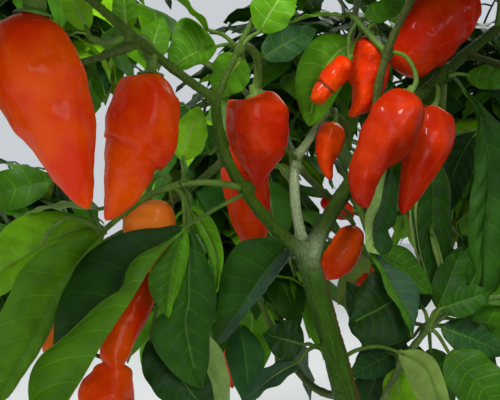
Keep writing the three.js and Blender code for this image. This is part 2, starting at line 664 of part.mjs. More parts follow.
// Grows one mass by a seeded rule. Its twigs come first, each ending in a fork until the last, and then
// the leaves and fruits at their nodes, each kept off all that is there already.
function grow(mass) {
  const random = numbersFrom(mass.seed);
  const grown = { twigs: [], leaves: [], fruits: [] };
  const nodes = [];
  const taken = [];

  function isFree(points) {
    return taken.every((one) => points.every((point) => point.distanceTo(one) > SPACING));
  }

  // The first of a few ways on from a twig's end that stays inside the space.
  function addTwig(start, direction, level, plane) {
    const length = STEPS[level] * (0.85 + 0.3 * random());
    const except = level === 0 ? mass.bough : '';
    let way = direction;
    let end = null;
    for (let k = 0; k < TRIES && !end; k++) {
      const tried = start.clone().addScaledVector(way, length);
      const points = [0.25, 0.5, 0.75, 1].map((share) => start.clone().lerp(tried, share));
      if (fits(points, mass, TWIG_CLEARANCE + TWIG_RADII[level], except)) end = tried;
      else way = way.clone().add(new THREE.Vector3(random() - 0.5, random() - 0.5, random() - 0.5)).normalize();
    }
    if (!end) return;
    grown.twigs.push({ start, end, level });
    for (let share = 0.1; share < 1; share += 0.12) taken.push(start.clone().lerp(end, share));
    const last = level === STEPS.length - 1;
    const places = last ? [0.98, 0.76, 0.52, 0.3] : [0.7];
    places.forEach((share, k) => nodes.push({ point: start.clone().lerp(end, share), fruit: k === 1 && level > 0 }));
    if (last) return;
    const side = new THREE.Vector3(Math.cos(plane), Math.sin(plane), 0);
    side.addScaledVector(way, -side.dot(way)).normalize();
    const nextPlane = plane + Math.PI / 2 + (random() - 0.5) * 0.8;
    for (const sign of [-1, 1]) {
      const angle = sign * FORK_ANGLE * (0.8 + 0.5 * random());
      const next = way.clone().multiplyScalar(Math.cos(angle)).addScaledVector(side, Math.sin(angle));
      next.z += LIFT;
      addTwig(end, next.normalize(), level + 1, nextPlane);
    }
  }

  function addLeaf(node, heading) {
    for (let k = 0; k < TRIES; k++) {
      const pitch = 0.35 - 0.75 * random();
      const length = LEAF_LENGTH + LEAF_SPREAD * (random() - 0.4) - 4 * k;
      const leaf = leafAt(node, heading + 0.7 * k, pitch, length, random);
      const points = leafPoints(leaf);
      if (!isFree(points) || !fits(points, mass, LIMB_CLEARANCE)) continue;
      grown.leaves.push(leaf);
      taken.push(...points);
      return;
    }
  }

  function addFruit(node, heading) {
    const length = FRUIT_LENGTH * (0.85 + 0.4 * random());
    const lean = 0.25 * random();
    const out = new THREE.Vector3(Math.cos(heading), Math.sin(heading), 0);
    const top = node.clone().addScaledVector(out, 13).add(new THREE.Vector3(0, 0, -13));
    const tip = top.clone().addScaledVector(out, length * lean);
    tip.z -= length;
    const fruit = { from: node.clone(), top, tip, width: length * FRUIT_WIDTH_SHARE, bow: out.multiplyScalar(2) };
    const points = fruitPoints(fruit);
    if (!isFree(points) || !fits(points, mass, LIMB_CLEARANCE)) return;
    grown.fruits.push(fruit);
    taken.push(...points);
  }

  addTwig(mass.start, mass.direction, 0, random() * Math.PI);
  let heading = random() * 2 * Math.PI;
  for (const node of nodes) {
    heading += 2.4 + 0.6 * (random() - 0.5);
    if (node.fruit && random() < FRUIT_CHANCE) addFruit(node.point, heading + 2);
    addLeaf(node.point, heading);
  }
  return grown;
}

const SEEDED_BLADE = [0.04, 0.42];
const SHOWN_BLADE = [0.03, 0.2, 0.45, 0.75];
const SMALL_BLADE = [0.03, 0.25, 0.6];
const SMALL_WIDTH = 26;
const SEEDED_GIRTH = [0.1, 0.55];
const SHOWN_GIRTH = [0.04, 0.2, 0.5, 0.8];

function largestBody(solid) {
  const bodies = solid.decompose();
  return bodies.reduce((best, body) => (body.volume() > best.volume() ? body : best));
}

function massSolid(mass) {
  const { twigs, leaves, fruits } = grow(mass);
  const solids = twigs.map(({ start, end, level }) => {
    const before = start.clone().lerp(end, level === 0 ? -0.04 : -0.01);
    return rod([before, end], [TWIG_RADII[level] * 0.9, TWIG_RADII[level + 1]], 3);
  });
  solids.push(...leaves.map((leaf) => leafSolid(leaf, SEEDED_BLADE)));
  solids.push(...fruits.map((fruit) => fruitSolid(fruit, 6, SEEDED_GIRTH, 3)));
  return Manifold.union(solids);
}

// A swollen node round a limb.
function knuckle([middle, radius]) {
  const centre = place(middle);
  const ends = [1, -1].map((side) => [centre.clone().add(new THREE.Vector3(0, 0, side * radius))]);
  const low = centre.clone().add(new THREE.Vector3(0, 0, -radius / 2));
  const high = centre.clone().add(new THREE.Vector3(0, 0, radius / 2));
  return loft([ends[1], ...rodRings([low, high], [radius * 0.9, radius * 0.9], 6), ends[0]]);
}

function spraySolid(spray) {
  const solids = spray.twigs.map((line) => {
    const points = line.map(place);
    return rod(points, points.map((_, k) => 2 - (0.5 * k) / (points.length - 1)), 4);
  });
  for (const leaf of spray.leaves.map(shownLeaf)) {
    solids.push(leafSolid(leaf, leaf.width < SMALL_WIDTH ? SMALL_BLADE : SHOWN_BLADE));
  }
  for (const fruit of spray.fruits.map(shownFruit)) solids.push(fruitSolid(fruit, 8, SHOWN_GIRTH, 4));
  if (spray.node) solids.push(knuckle(spray.node));
  return Manifold.union(solids);
}

function meshOf(name, solid, material) {
  const { numProp, vertProperties, triVerts } = solid.getMesh();
  const geometry = new THREE.BufferGeometry();
  geometry.setAttribute('position', new THREE.BufferAttribute(vertProperties, numProp));
  geometry.setIndex(new THREE.BufferAttribute(triVerts, 1));
  geometry.computeVertexNormals();
  const mesh = new THREE.Mesh(geometry, material);
  mesh.name = name;
  return mesh;
}

const plant = new THREE.Group();
const fatLimbs = [stemSolid(GAP)];

function clearOfFatLimbs(solid) {
  return largestBody(fatLimbs.reduce((left, fat) => left.subtract(fat), solid));
}

plant.add(meshOf('stem', stemSolid(0), PALETTE.stem));
for (const bough of BOUGHS) {
  plant.add(meshOf(bough.name, clearOfFatLimbs(boughSolid(bough, 0)), PALETTE.bough));
  fatLimbs.push(boughSolid(bough, GAP));
}
for (const spray of SPRAYS) {
  const material = spray.leaves.length ? PALETTE.leaf : PALETTE.fruit;
  plant.add(meshOf(spray.name, clearOfFatLimbs(spraySolid(spray)), material));
}
for (const mass of MASSES) plant.add(meshOf(mass.name, clearOfFatLimbs(massSolid(mass)), PALETTE.leaf));

export default plant;
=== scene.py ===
# The looks of a chilli pepper plant in fruit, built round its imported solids: ridged green stems with
# brown streaks, veined leaves, glossy hanging fruit, and the masses of foliage carried to finer twigs.
# Lengths are millimetres in the part's own frame until a mesh is made, which is in metres.
import math
import bpy
import numpy as np
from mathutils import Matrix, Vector, kdtree, noise


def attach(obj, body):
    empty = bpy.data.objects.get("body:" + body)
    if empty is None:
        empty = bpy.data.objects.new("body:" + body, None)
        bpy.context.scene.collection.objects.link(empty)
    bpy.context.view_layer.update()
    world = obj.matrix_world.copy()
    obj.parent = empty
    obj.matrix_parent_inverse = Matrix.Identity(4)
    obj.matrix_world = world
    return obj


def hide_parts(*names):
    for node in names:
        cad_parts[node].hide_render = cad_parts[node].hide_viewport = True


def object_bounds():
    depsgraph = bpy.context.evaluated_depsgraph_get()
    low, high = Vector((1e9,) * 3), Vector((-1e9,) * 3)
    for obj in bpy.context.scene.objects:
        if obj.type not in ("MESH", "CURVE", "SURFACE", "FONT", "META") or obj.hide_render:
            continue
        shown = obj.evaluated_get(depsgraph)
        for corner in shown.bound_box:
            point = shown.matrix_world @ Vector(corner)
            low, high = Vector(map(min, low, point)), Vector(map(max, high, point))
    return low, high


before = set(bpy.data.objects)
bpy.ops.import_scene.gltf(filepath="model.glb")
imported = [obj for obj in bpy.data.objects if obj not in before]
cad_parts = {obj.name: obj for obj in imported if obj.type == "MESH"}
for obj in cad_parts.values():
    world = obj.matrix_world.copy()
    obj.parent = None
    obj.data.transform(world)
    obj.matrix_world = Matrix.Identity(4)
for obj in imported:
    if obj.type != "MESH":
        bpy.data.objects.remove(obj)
cad_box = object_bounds()

MM = 0.001
BODY = "root"
UP = np.array([0.0, 0.0, 1.0])

# The main stem and its first fork
FORK_HEIGHT = 300
FORK_OFFSET = -50
STEM_LEAN = -54.5
STEM_BEND = 1.72
STEM_RADIUS = 5.8
STEM_TAPER = 1.2
FORK_SWELLING = 1
SWELLING_AT = 0.98
SWELLING_REACH = 0.05
FOOT_RADIUS = 12
FLARE_RADIUS = 15
FLARE_FADE = 18

# The front view that places are read in: [right of the fork, above it, behind it], as seen from
# EYE_DISTANCE away, level with EYE_RIGHT and EYE_UP.
EYE_DISTANCE = 480
EYE_RIGHT = -35
EYE_UP = 27
VIEW_WIDTH = 280
SENSOR_WIDTH = 36

# The crown and the side of it that stands open towards the viewer
CROWN_MIDDLE = np.array([-45.0, 10.0, 450.0])
CROWN_HALF = np.array([350.0, 335.0, 335.0])
CROWN_POWER = 2.7
OPEN_SIDE = {"left": -195, "right": 124, "low": -104, "high": 156, "depth": 92}

# Clearances, and room for the points that a mass's growth takes up
GAP = 0.3
SPACE_MARGIN = 1.2
LIMB_CLEARANCE = 7
TWIG_CLEARANCE = 2
NEAR = 100
REACH_MARGIN = 8
MOST_TAKEN = 20000

# Growth of a mass of foliage from its stem, as in the solids
STEPS = [62, 56, 50]
TWIG_RADII = [2.9, 2.5, 2.1, 1.7]
TWIG_SAMPLES = [[0.25], [0.5], [0.75], [1]]
LEAF_NODES = [0.98, 0.76, 0.52, 0.3]
FORK_NODES = [0.7]
FORK_ANGLE = 0.6
LIFT = 0.12
TRIES = 7
NODE_TURN = 2.4
LEAF_LENGTH = 88
LEAF_SPREAD = 34
LEAF_WIDTH_SHARE = 0.46
LEAF_FOLD = 0.12
LEAF_SAMPLES = tuple(k / 10 for k in range(1, 10))
SIDE_SAMPLES = (-1, -0.5, 0, 0.5, 1)
SPACING = 7
PETIOLE = 20
FRUIT_LENGTH = 52
FRUIT_WIDTH_SHARE = 0.56
FRUIT_CHANCE = 0.4
FRUIT_REACH = 13

# The finer growth that the solids leave out
FINE_SHARES = [0.16, 0.36, 0.56, 0.76, 0.94]
FINE_STEP = 34
TIP_SHARES = [0.5, 0.98]
TIP_STEP = 28
FINE_RADII = [1.5, 1.1, 0.8]
FINE_TRIES = 8
FINE_TWIG_SAMPLES = [[0.35], [0.6], [0.8], [1]]
FINE_TWIG_SPACING = 2.5
FINE_LEAF_NODES = [1.0, 0.97, 0.8, 0.55]
SMALL_LEAF = 0.72
FINE_LEAF_LENGTH = 66
FINE_LEAF_SPREAD = 34
FINE_LEAF_SAMPLES = (0.12, 0.3, 0.5, 0.7, 0.88)
FINE_SIDE_SAMPLES = (-0.9, 0, 0.9)
FINE_PETIOLE = 13
FINE_SPACING = 3.0
FINE_LIMB_CLEARANCE = 3
FINE_FRUIT_CHANCE = 0.2
SEED_OF_FINE = 500
SEED_OF_LOOKS = 900
SEED_OF_SPRAYS = 7

# Leaves: the outline, the midrib and the side veins. A blade without strips for its veins is a grid of
# [columns on each side, rows].
BLADE_POWER = 0.62
BLADE_WIDEST = 0.38
BLADE_THICKNESS = 0.35
FINE_BLADE = (3, 7)
PLAIN_BLADE = (2, 5)
SHOWN_BLADE_VEINS = 6
SHOWN_BOW = 0.08
SHOWN_FOLD = 0.2
SHOWN_WAVE = 0.22
DRAWN_VEINS = 8
DRAWN_COLUMNS = 9
RIB_HALF_WIDTH = 0.55
WIDEST_RIB = 0.3
VEINS_FROM = 0.05
VEINS_TO = 0.86
VEIN_HALF_WIDTH = 0.32
VEIN_TAPER = 0.6
VEIN_SLANT = 0.13
DRAWN_VEIN_SLANT = 0.15
FIRST_ROW = 0.008
LAST_ROWS = (0.94, 0.99)
ROWS_BETWEEN_VEINS = (0.25, 0.5, 0.75)
LINE_SAMPLES = 240

# Leaves: how the blade is raised, as shares of its half width, how deep its midrib lies, and its stalk
QUILT = 0.045
SCALLOP = 0.03
DROOP = 0.25
ARCH = 0.1
RIPPLE = 0.045
MIDRIB_DEPTH = 0.5
DRAWN_MIDRIB_DEPTH = 0.7
SMALL_LEAF_WIDTH = 32
STALK_SAG = 0.12
STALK_INSIDE = 3

# Fruit. A grid is [rings, sides].
FRUIT_POWERS = (0.28, 0.85)
FRUIT_WIDEST = 0.248
FRUIT_SAMPLES = 200
SHOWN_FRUIT_GRID = (72, 50)
MASS_FRUIT_GRID = (22, 18)
EVEN_RINGS = 0.65
SHOULDER = 0.12
TIP = 0.05
LEAST_GIRTH = 0.4
LOBE_REACH = 0.38
SWELLINGS = 7
CREASE_DEPTH = 0.042
CREASE_REACH = 1.5
SCAR_REACH = 1.0
SCAR = 3
FOLD_DEPTH = 0.75
FOLD_SIZE = (7, 7, 26)
PIT_DEPTH = 0.3
PIT_SIZE = (3.4, 3.4, 4.6)
PORE_DEPTH = 0.3 * PIT_DEPTH
PORE_SIZE = (1.5, 1.5, 1.9)
DIMPLED_SIDES = 24
USUAL_FRUIT = {"lobes": 0.05, "wrinkle": 0.02, "tone": 0}

# The cap on a fruit: its rings as [height, width, how wavy], the width that counts as the rim's, and the
# width up to which a ring follows the stalk instead
CALYX_RINGS = [
    (-0.9, 1.0, 0), (-0.35, 1.25, 0), (-0.1, 2.0, 0), (0.02, 2.9, 0.5),
    (0.16, 3.4, 1), (0.26, 3.3, 1), (0.2, 2.2, 0.5), (0.35, 0.6, 0),
]
CALYX_WIDEST = 3.4
CALYX_STALK = 1.3

# Bark. Smoothing is [factor, times], and the stem's wear [all round, more on its right].
LINE_STEP = 4
ROUGH_SAMPLES = 17
BARK_VOXEL = 1.1
BARK_RIDGES = 5
SMOOTHING = (0.5, 3)
RIDGE_HEIGHT = 0.55
RIDGE_SIZE = (2.2, 2.2, 1.6)
GRAIN_HEIGHT = 0.4 * RIDGE_HEIGHT
GRAIN_SIZE = (0.9, 0.9, 0.7)
CRACK_DEPTH = 0.5
CRACK_SIZE = (1.7, 1.7, 1.3)
CRACK_SHIFT = 9
CRACK_WIDTH = 0.12
WORN_TURN = -0.25
WORN_REACH = 0.55
STEM_WORN = (0.1, 0.46)
STEM_OWNER = -1
BOUGH_WORN = {"bough_right": 0.16, "other": 0.02}
KNOT_WORN = 0.4
KNOT_RADIUS = 2.0
PALE_REACH = 9
PALE_SHARE = 0.8
BLENDED_POINTS = 4
BLEND_START = 0.3
GRAIN_SHIFT = 37.0
GRAIN_LIFT = 0.15
GRAIN_RUN = 0.09
STEM_SIDES = 40
STEM_RIDGES = 0.035
BOUGH_SIDES = 24
BOUGH_RIDGES = 0.045
SHOWN_TWIG_SIDES = 12
TWIG_RIDGES = 0.06
CREST = [[0, 0, -2.0], [-0.6, 0, 3.0]]
CREST_RADII = [5.8, 5.6, 5.2, 4.6, 3.6, 2.2]
BALL_HEIGHTS = [-1, -0.8, -0.4, 0, 0.4, 0.8, 1]
NODE_SPACING = 22
NODE_SWELLING = 0.35
NODE_REACH = 2.2
COLLAR_SWELLING = 0.3
COLLAR_REACH = 7
BOUGH_SHARE = 0.86
SLIM_SHARE = 0.7


def linear(red, green, blue):
    """A display colour from 0 to 255 as linear light, for a shader's socket."""
    shares = [value / 255 for value in (red, green, blue)]
    return tuple(((s + 0.055) / 1.055) ** 2.4 if s > 0.04045 else s / 12.92 for s in shares) + (1.0,)


# Leaf tones: the colour, how rough the surface is, the tone of the underside and the tone of the veins
LEAF_TONES = {
    "deep": (linear(27, 62, 15), 0.44, "mid", "dark"),
    "dark": (linear(40, 82, 15), 0.46, "fresh", "mid"),
    "mid": (linear(58, 106, 14), 0.46, "fresh", "fresh"),
    "fresh": (linear(80, 136, 12), 0.48, "bright", "vein"),
    # On the leaves shown, the bright tone is painted glow: light shining through the blade from behind, put
    # into its colour. Among the masses and on undersides it is a plain paler green.
    "bright": (linear(112, 168, 14), 0.5, "bright", "vein"),
    "leafy": (linear(70, 114, 10), 0.46, "fresh", "fresh"),
    "olive": (linear(86, 112, 20), 0.5, "pale", "vein"),
    "teal": (linear(42, 84, 38), 0.42, "pale", "rib_dark"),
    "pale": (linear(130, 160, 84), 0.55, "pale", "rib"),
    "light": (linear(128, 158, 74), 0.5, "light", "pale"),
    # The blue tone is painted sheen: the pale sky's reflection on a glossy dark leaf, put into its colour,
    # on whole leaves or on one half of a folded one.
    "blue": (linear(56, 88, 62), 0.4, "pale", "rib_dark"),
    "vein": (linear(104, 156, 34), 0.5, None, None),
    "rib": (linear(126, 160, 68), 0.5, None, None),
    "rib_dark": (linear(70, 110, 36), 0.5, None, None),
}
TONE_NAMES = list(LEAF_TONES)
UNDER = {tone: under for tone, (_, _, under, _) in LEAF_TONES.items()}
VEIN = {tone: vein for tone, (_, _, _, vein) in LEAF_TONES.items()}
MASS_TONES = ["deep", "dark", "dark", "mid", "mid", "mid", "fresh", "fresh", "bright", "olive", "teal"]
DARK_TONES = ("deep", "dark", "mid", "teal", "leafy")


def unit(vector):
    return vector / np.linalg.norm(vector, axis=-1, keepdims=True)


def place(point):
    """A place in the front view as a place in the part's own frame."""
    right, up, back = point
    spread = 1 + back / EYE_DISTANCE
    x = FORK_OFFSET + EYE_RIGHT + (right - EYE_RIGHT) * spread
    return np.array([x, back, FORK_HEIGHT + EYE_UP + (up - EYE_UP) * spread], float)


def seen(points):
    """Where points are seen in the front view: right, up and back."""
    spread = 1 + points[:, 1] / EYE_DISTANCE
    right = EYE_RIGHT + (points[:, 0] - FORK_OFFSET - EYE_RIGHT) / spread
    up = EYE_UP + (points[:, 2] - FORK_HEIGHT - EYE_UP) / spread
    return right, up, points[:, 1]


def numbers_from(seed):
    """The same numbers between 0 and 1 each time, for one seed."""
    state = seed * 7919 + 1

    def draw():
        nonlocal state
        state = (state * 16807) % 2147483647
        return state / 2147483647

    return draw


# Pieces

SHARP_ANGLE = 62


def add_object(name, data):
    made = bpy.data.objects.new(name, data)
    bpy.context.scene.collection.objects.link(made)
    return made


def finish_piece(made, nodes):
    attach(made, BODY)
    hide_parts(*nodes)


class Shape:
    """The points, faces and face tones of one piece, gathered from many small closed bodies."""

    def __init__(self):
        self.points = []
        self.faces = []
        self.tones = []
        self.count = 0

    def add(self, points, faces, tones):
        self.points.append(points)
        self.faces.append(faces + self.count)
        self.tones.append(np.broadcast_to(tones, len(faces)))
        self.count += len(points)

    def piece(self, name, materials, nodes, slot):
        """Makes the piece that stands for the given solids."""
        if not self.count:
            return
        points = np.concatenate(self.points) * MM
        faces = np.concatenate(self.faces)
        tones = np.concatenate(self.tones)
        mesh = bpy.data.meshes.new(name)
        mesh.vertices.add(len(points))
        mesh.vertices.foreach_set("co", points.astype(np.float32).ravel())
        mesh.loops.add(faces.size)
        mesh.loops.foreach_set("vertex_index", faces.astype(np.int32).ravel())
        mesh.polygons.add(len(faces))
        mesh.polygons.foreach_set("loop_start", np.arange(0, faces.size, 4, dtype=np.int32))
        mesh.polygons.foreach_set("material_index", tones.astype(np.int32))
        mesh.polygons.foreach_set("use_smooth", np.ones(len(faces), bool))
        for material in materials:
            mesh.materials.append(material)
        mesh.update(calc_edges=True)
        mesh.validate()
        mesh.set_sharp_from_angle(angle=math.radians(SHARP_ANGLE))
        finish_piece(add_object(name, mesh), nodes)


class Parts:
    """The leaves, stalks and fruit of one spray or mass, each kind joined into one piece."""

    def __init__(self, name):
        self.name = name
        self.blades, self.stems, self.skins = Shape(), Shape(), Shape()

    def make(self, stems_name):
        nodes = [self.name]
        self.blades.piece(self.name + "_leaves", LEAF_MATERIALS, nodes, "foliage")
        self.stems.piece(self.name + stems_name, TWIG_MATERIALS, nodes, "bough")
        self.skins.piece(self.name + "_fruit", FRUIT_MATERIALS, nodes, "fruit")


# Lines and tubes


def smooth_line(points, count):
    """A smooth line through the given points, in evenly spread steps of its parameter."""
    points = np.asarray(points, float)
    if len(points) == 2:
        return points[0] + np.linspace(0, 1, count)[:, None] * (points[1] - points[0])
    padded = np.vstack([2 * points[0] - points[1], points, 2 * points[-1] - points[-2]])
    turns = np.linspace(0, len(points) - 1, count)
    first = np.minimum(turns.astype(int), len(points) - 2)
    t = (turns - first)[:, None]
    a, b, c, d = (padded[first + k] for k in range(4))
    return 0.5 * (2 * b + (c - a) * t + (2 * a - 5 * b + 4 * c - d) * t**2 + (3 * b - a - 3 * c + d) * t**3)


def curve(start, middle, end, share):
    """A place on a curve from its start to its end that bends towards the middle point."""
    return (1 - share) ** 2 * start + 2 * share * (1 - share) * middle + share**2 * end


def walk(line):
    """How far each of a line's points lies along it."""
    return np.concatenate([[0], np.cumsum(np.linalg.norm(np.diff(line, axis=0), axis=1))])


def at_shares(shares, walked, line):
    """Places on a line at shares of its length."""
    return np.stack([np.interp(shares, walked, line[:, k]) for k in range(3)], -1)


def ways_round(line, sides):
    """The turns round a line, and the ways out from each of its points at them. They turn as little as
    possible from point to point."""
    along = unit(np.gradient(line, axis=0) + 1e-9)
    across = np.empty_like(line)
    way = np.array([1.0, 0.37, 0.11])
    for k, forward in enumerate(along):
        way = unit(way - forward * way.dot(forward))
        across[k] = way
    other = np.cross(along, across)
    turn = np.arange(sides) * 2 * math.pi / sides
    ways = across[:, None] * np.cos(turn)[None, :, None] + other[:, None] * np.sin(turn)[None, :, None]
    return turn, ways


def closed_body(rings, start, end):
    """The points and quads of a closed body: rings of points, closed at each end round one more point.
    The quads between the rings come first."""
    count, sides = rings.shape[:2]
    k, i = np.meshgrid(np.arange(count - 1), np.arange(sides), indexing="ij")
    j = (i + 1) % sides
    walls = np.stack([k * sides + i, k * sides + j, (k + 1) * sides + j, (k + 1) * sides + i], -1)
    first, last = count * sides, (count - 1) * sides
    step = np.arange(0, sides, 2)
    after, second = (step + 1) % sides, (step + 2) % sides
    foot = np.stack([np.full_like(step, first), second, after, step], -1)
    top = np.stack([np.full_like(step, first + 1), last + step, last + after, last + second], -1)
    return np.vstack([rings.reshape(-1, 3), start, end]), np.vstack([walls.reshape(-1, 4), foot, top])


def add_tube(shape, line, radii, sides, ridges=0.0):
    """A closed tube along a line."""
    line = np.asarray(line, float)
    radii = np.broadcast_to(radii, len(line)).astype(float)
    turn, ways = ways_round(line, sides)
    swell = 1 + ridges * np.cos(BARK_RIDGES * turn)
    rings = line[:, None] + ways * (radii[:, None] * swell)[:, :, None]
    shape.add(*closed_body(rings, line[:1], line[-1:]), 0)


# The limbs: each bough runs from one place to another, bowed by the third, and tapers.
BOUGHS = [
    ("bough_right", (-1.5, -3, 0), (132, 142, 78), (-11, 9, -8), (5.6, 3.4)),
    ("bough_left", (-3, -4, 0), (-54, 83, -25), (-13, -2, 2), (4.3, 3.3)),
    ("bough_middle", (-5, 1, 4), (-10, 50, 26), (-2, 0, 2), (3.8, 3.4)),
    ("bough_left_high", (-54, 83, -25), (-157, 170, -142), (4, -7, 10), (3.1, 2.3)),
    ("bough_left_top", (-54, 83, -25), (-12, 166, 2), (0, 4, -2), (2.3, 2.1)),
    ("bough_top", (-10, 50, 26), (30, 190, 96), (8, -14, 2), (3.2, 2.4)),
    ("bough_right_top", (37, 57, 21), (74, 168, -18), (-14, -4, 2), (3.2, 2.4)),
    ("bough_left_front", (-96, 115, -68), (-206, 96, -104), (4, -5, 2), (2.2, 2.1)),
    ("bough_left_low", (-47, 52, -14), (-192, -26, 110), (10, -6, -16), (2.6, 2.2)),
    ("bough_back_left", (-10, 50, 26), (-96, 112, 150), (4, 16, 6), (2.8, 2.3)),
    ("bough_back_right", (-9, 47, 24), (66, 30, 160), (1, -20, -8), (2.6, 2.2)),
    ("bough_back", (-10, 50, 26), (-14, 66, 190), (-6, 14, 0), (2.7, 2.3)),
    ("bough_back_high", (24, 150, 78), (-20, 178, 190), (-4, -6, 4), (2.3, 2.1)),
    ("bough_right_front", (86, 108, 50), (152, 62, -58), (4, 8, -8), (2.6, 2.2)),
    ("shoot_right", (25, -126, 0), (134, -36, 36), (-9, 41, 0), (3.2, 2.4)),
    ("shoot_back", (17, -82, 0), (-30, -28, 120), (0, -16, 4), (3, 2.3)),
    ("shoot_front", (28, -140, 0), (18, -150, -95), (0, -12, 0), (3, 2.3)),
]


def bough_line(start, end, bow, shares):
    start, end, bow = (np.array(value, float) for value in (start, end, bow))
    middle = (start + end) / 2 + 2 * bow
    return np.array([place(curve(start, middle, end, share)) for share in shares])


def stem_point(share):
    return np.array([STEM_LEAN * share**STEM_BEND, 0.0, FORK_HEIGHT * share])


def stem_radius(share):
    flare = (FLARE_RADIUS - FOOT_RADIUS) * math.exp(-share * FLARE_FADE)
    swelling = FORK_SWELLING * math.exp(-(((share - SWELLING_AT) / SWELLING_REACH) ** 2))
    return STEM_RADIUS + (FOOT_RADIUS - STEM_RADIUS) * (1 - share) ** STEM_TAPER + flare + swelling


def limb_points():
    """Every limb as points along its middle, with its radius there and its number in BOUGHS."""
    points, radii, owners = [], [], []
    for height in range(0, FORK_HEIGHT + 1, LINE_STEP):
        points.append(stem_point(height / FORK_HEIGHT))
        radii.append(stem_radius(height / FORK_HEIGHT))
        owners.append(STEM_OWNER)
    for number, (_, start, end, bow, (thick, thin)) in enumerate(BOUGHS):
        rough = bough_line(start, end, bow, np.linspace(0, 1, ROUGH_SAMPLES))
        length = np.linalg.norm(np.diff(rough, axis=0), axis=1).sum()
        shares = np.linspace(0, 1, math.ceil(length / LINE_STEP) + 1)
        points.extend(bough_line(start, end, bow, shares))
        radii.extend(thick + (thin - thick) * shares)
        owners.extend([number] * len(shares))
    return np.array(points), np.array(radii), np.array(owners)


LIMB_POINTS, LIMB_RADII, LIMB_OWNERS = limb_points()


def clear_of_limbs(points, clearance, owner=None):
    near = np.abs(LIMB_POINTS - points.mean(axis=0)).max(axis=1) < NEAR
    if owner is not None:
        near &= LIMB_OWNERS != owner
    if not near.any():
        return True
    apart = ((points[:, None] - LIMB_POINTS[near][None]) ** 2).sum(axis=2)
    return bool((apart > (LIMB_RADII[near] + clearance) ** 2).all())


# Leaves


def blade_share(share):
    """Half the width of a leaf's blade, as a share of its greatest, from its base at 0 to its tip at 1."""
    return share**BLADE_POWER * (1 - share) / (BLADE_WIDEST**BLADE_POWER * (1 - BLADE_WIDEST))


def blade_frame(leaf, share):
    """The midrib's points at the given shares, the ways across it and the ways its upper side faces."""
    base, tip, face = leaf["base"], leaf["tip"], leaf["face"]
    middle = (base + tip) / 2 + face * 2 * leaf["bow"]
    s = np.asarray(share, float)[..., None]
    point = curve(base, middle, tip, s)
    along = unit((1 - s) * (middle - base) + s * (tip - middle))
    across = unit(np.cross(along, face))
    return point, across, np.cross(across, along)


def leaf_points(leaf, shares=LEAF_SAMPLES, sides=SIDE_SAMPLES):
    """Points all over a leaf's blade."""
    shares = np.array(shares)
    point, across, up = blade_frame(leaf, shares)
    half = leaf["width"] / 2 * blade_share(shares)
    fold = leaf["fold"]
    rows = [
        point
        + across * (side * half * math.cos(fold))[:, None]
        + up * (abs(side) * half * math.sin(fold))[:, None]
        for side in sides
    ]
    return np.vstack([leaf["base"], leaf["tip"], *rows])


def veined_rows(veins, length, v):
    """Rows along a blade for each place across it, in pairs that close in on a vein, with the height
    between the veins and which strips between two rows are veins."""
    rows, is_vein = [np.full(len(v), FIRST_ROW)], []
    taper = 1 - VEIN_TAPER * np.abs(v)
    for k in range(veins):
        middle = VEINS_FROM + (VEINS_TO - VEINS_FROM) * k / (veins - 1)
        step = (VEINS_TO - VEINS_FROM) / (veins - 1)
        half = VEIN_HALF_WIDTH / length * taper
        rows += [middle - half, middle + half]
        is_vein += [False, True]
        if k < veins - 1:
            rows += [middle + step * share + 0 * v for share in ROWS_BETWEEN_VEINS]
            is_vein += [False] * len(ROWS_BETWEEN_VEINS)
    rows += [np.full(len(v), share) for share in LAST_ROWS]
    is_vein += [False] * len(LAST_ROWS)
    s = np.array(rows)
    turn = (s - VEINS_FROM) / (VEINS_TO - VEINS_FROM) * (veins - 1)
    swell = np.abs(np.sin(math.pi * np.clip(turn, 0, veins - 1))) ** 0.8
    return s, swell, np.array(is_vein)


def plain_rows(rows, v):
    """Rows along a small blade, with the height between its veins, which get no strips of their own."""
    share = 0.012 + 0.976 * np.linspace(0, 1, rows + 1) ** 1.15
    s = np.repeat(share[:, None], len(v), axis=1)
    return s, np.abs(np.sin((s * 7.6 - 0.75) * math.pi)), np.zeros(rows, bool)


def blade_tones(shape_of, is_vein, left, right, under):
    """The tones of a blade's two sides: plain, but for the midrib and, within the margin, the veins."""
    half = shape_of[1] // 2
    tones = np.full(shape_of, TONE_NAMES.index(left))
    tones[:, half:] = TONE_NAMES.index(right)
    unders = np.full(shape_of, TONE_NAMES.index(under))
    for first, last, tone in ((1, half, left), (half + 1, shape_of[1] - 1, right)):
        tones[np.ix_(is_vein, range(first, last))] = TONE_NAMES.index(VEIN[tone])
        unders[np.ix_(is_vein, range(first, last))] = TONE_NAMES.index(VEIN[under])
    tones[:-2, half] = TONE_NAMES.index("rib_dark" if left in DARK_TONES else "rib")
    unders[:-2, half] = TONE_NAMES.index("rib")
    return tones, unders


def normals_of(top):
    return unit(np.cross(np.gradient(top, axis=1), np.gradient(top, axis=0)) + 1e-12)


def dent(distance, reach):
    """A soft dent or swelling, 1 in its middle and fading with the distance from it."""
    return np.exp(-((distance / reach) ** 2))


def blade_fade(s):
    """How far waves and swellings rise along a blade: to nothing at its base and tip."""
    return np.sin(math.pi * np.clip(s, 0, 1)) ** 0.5


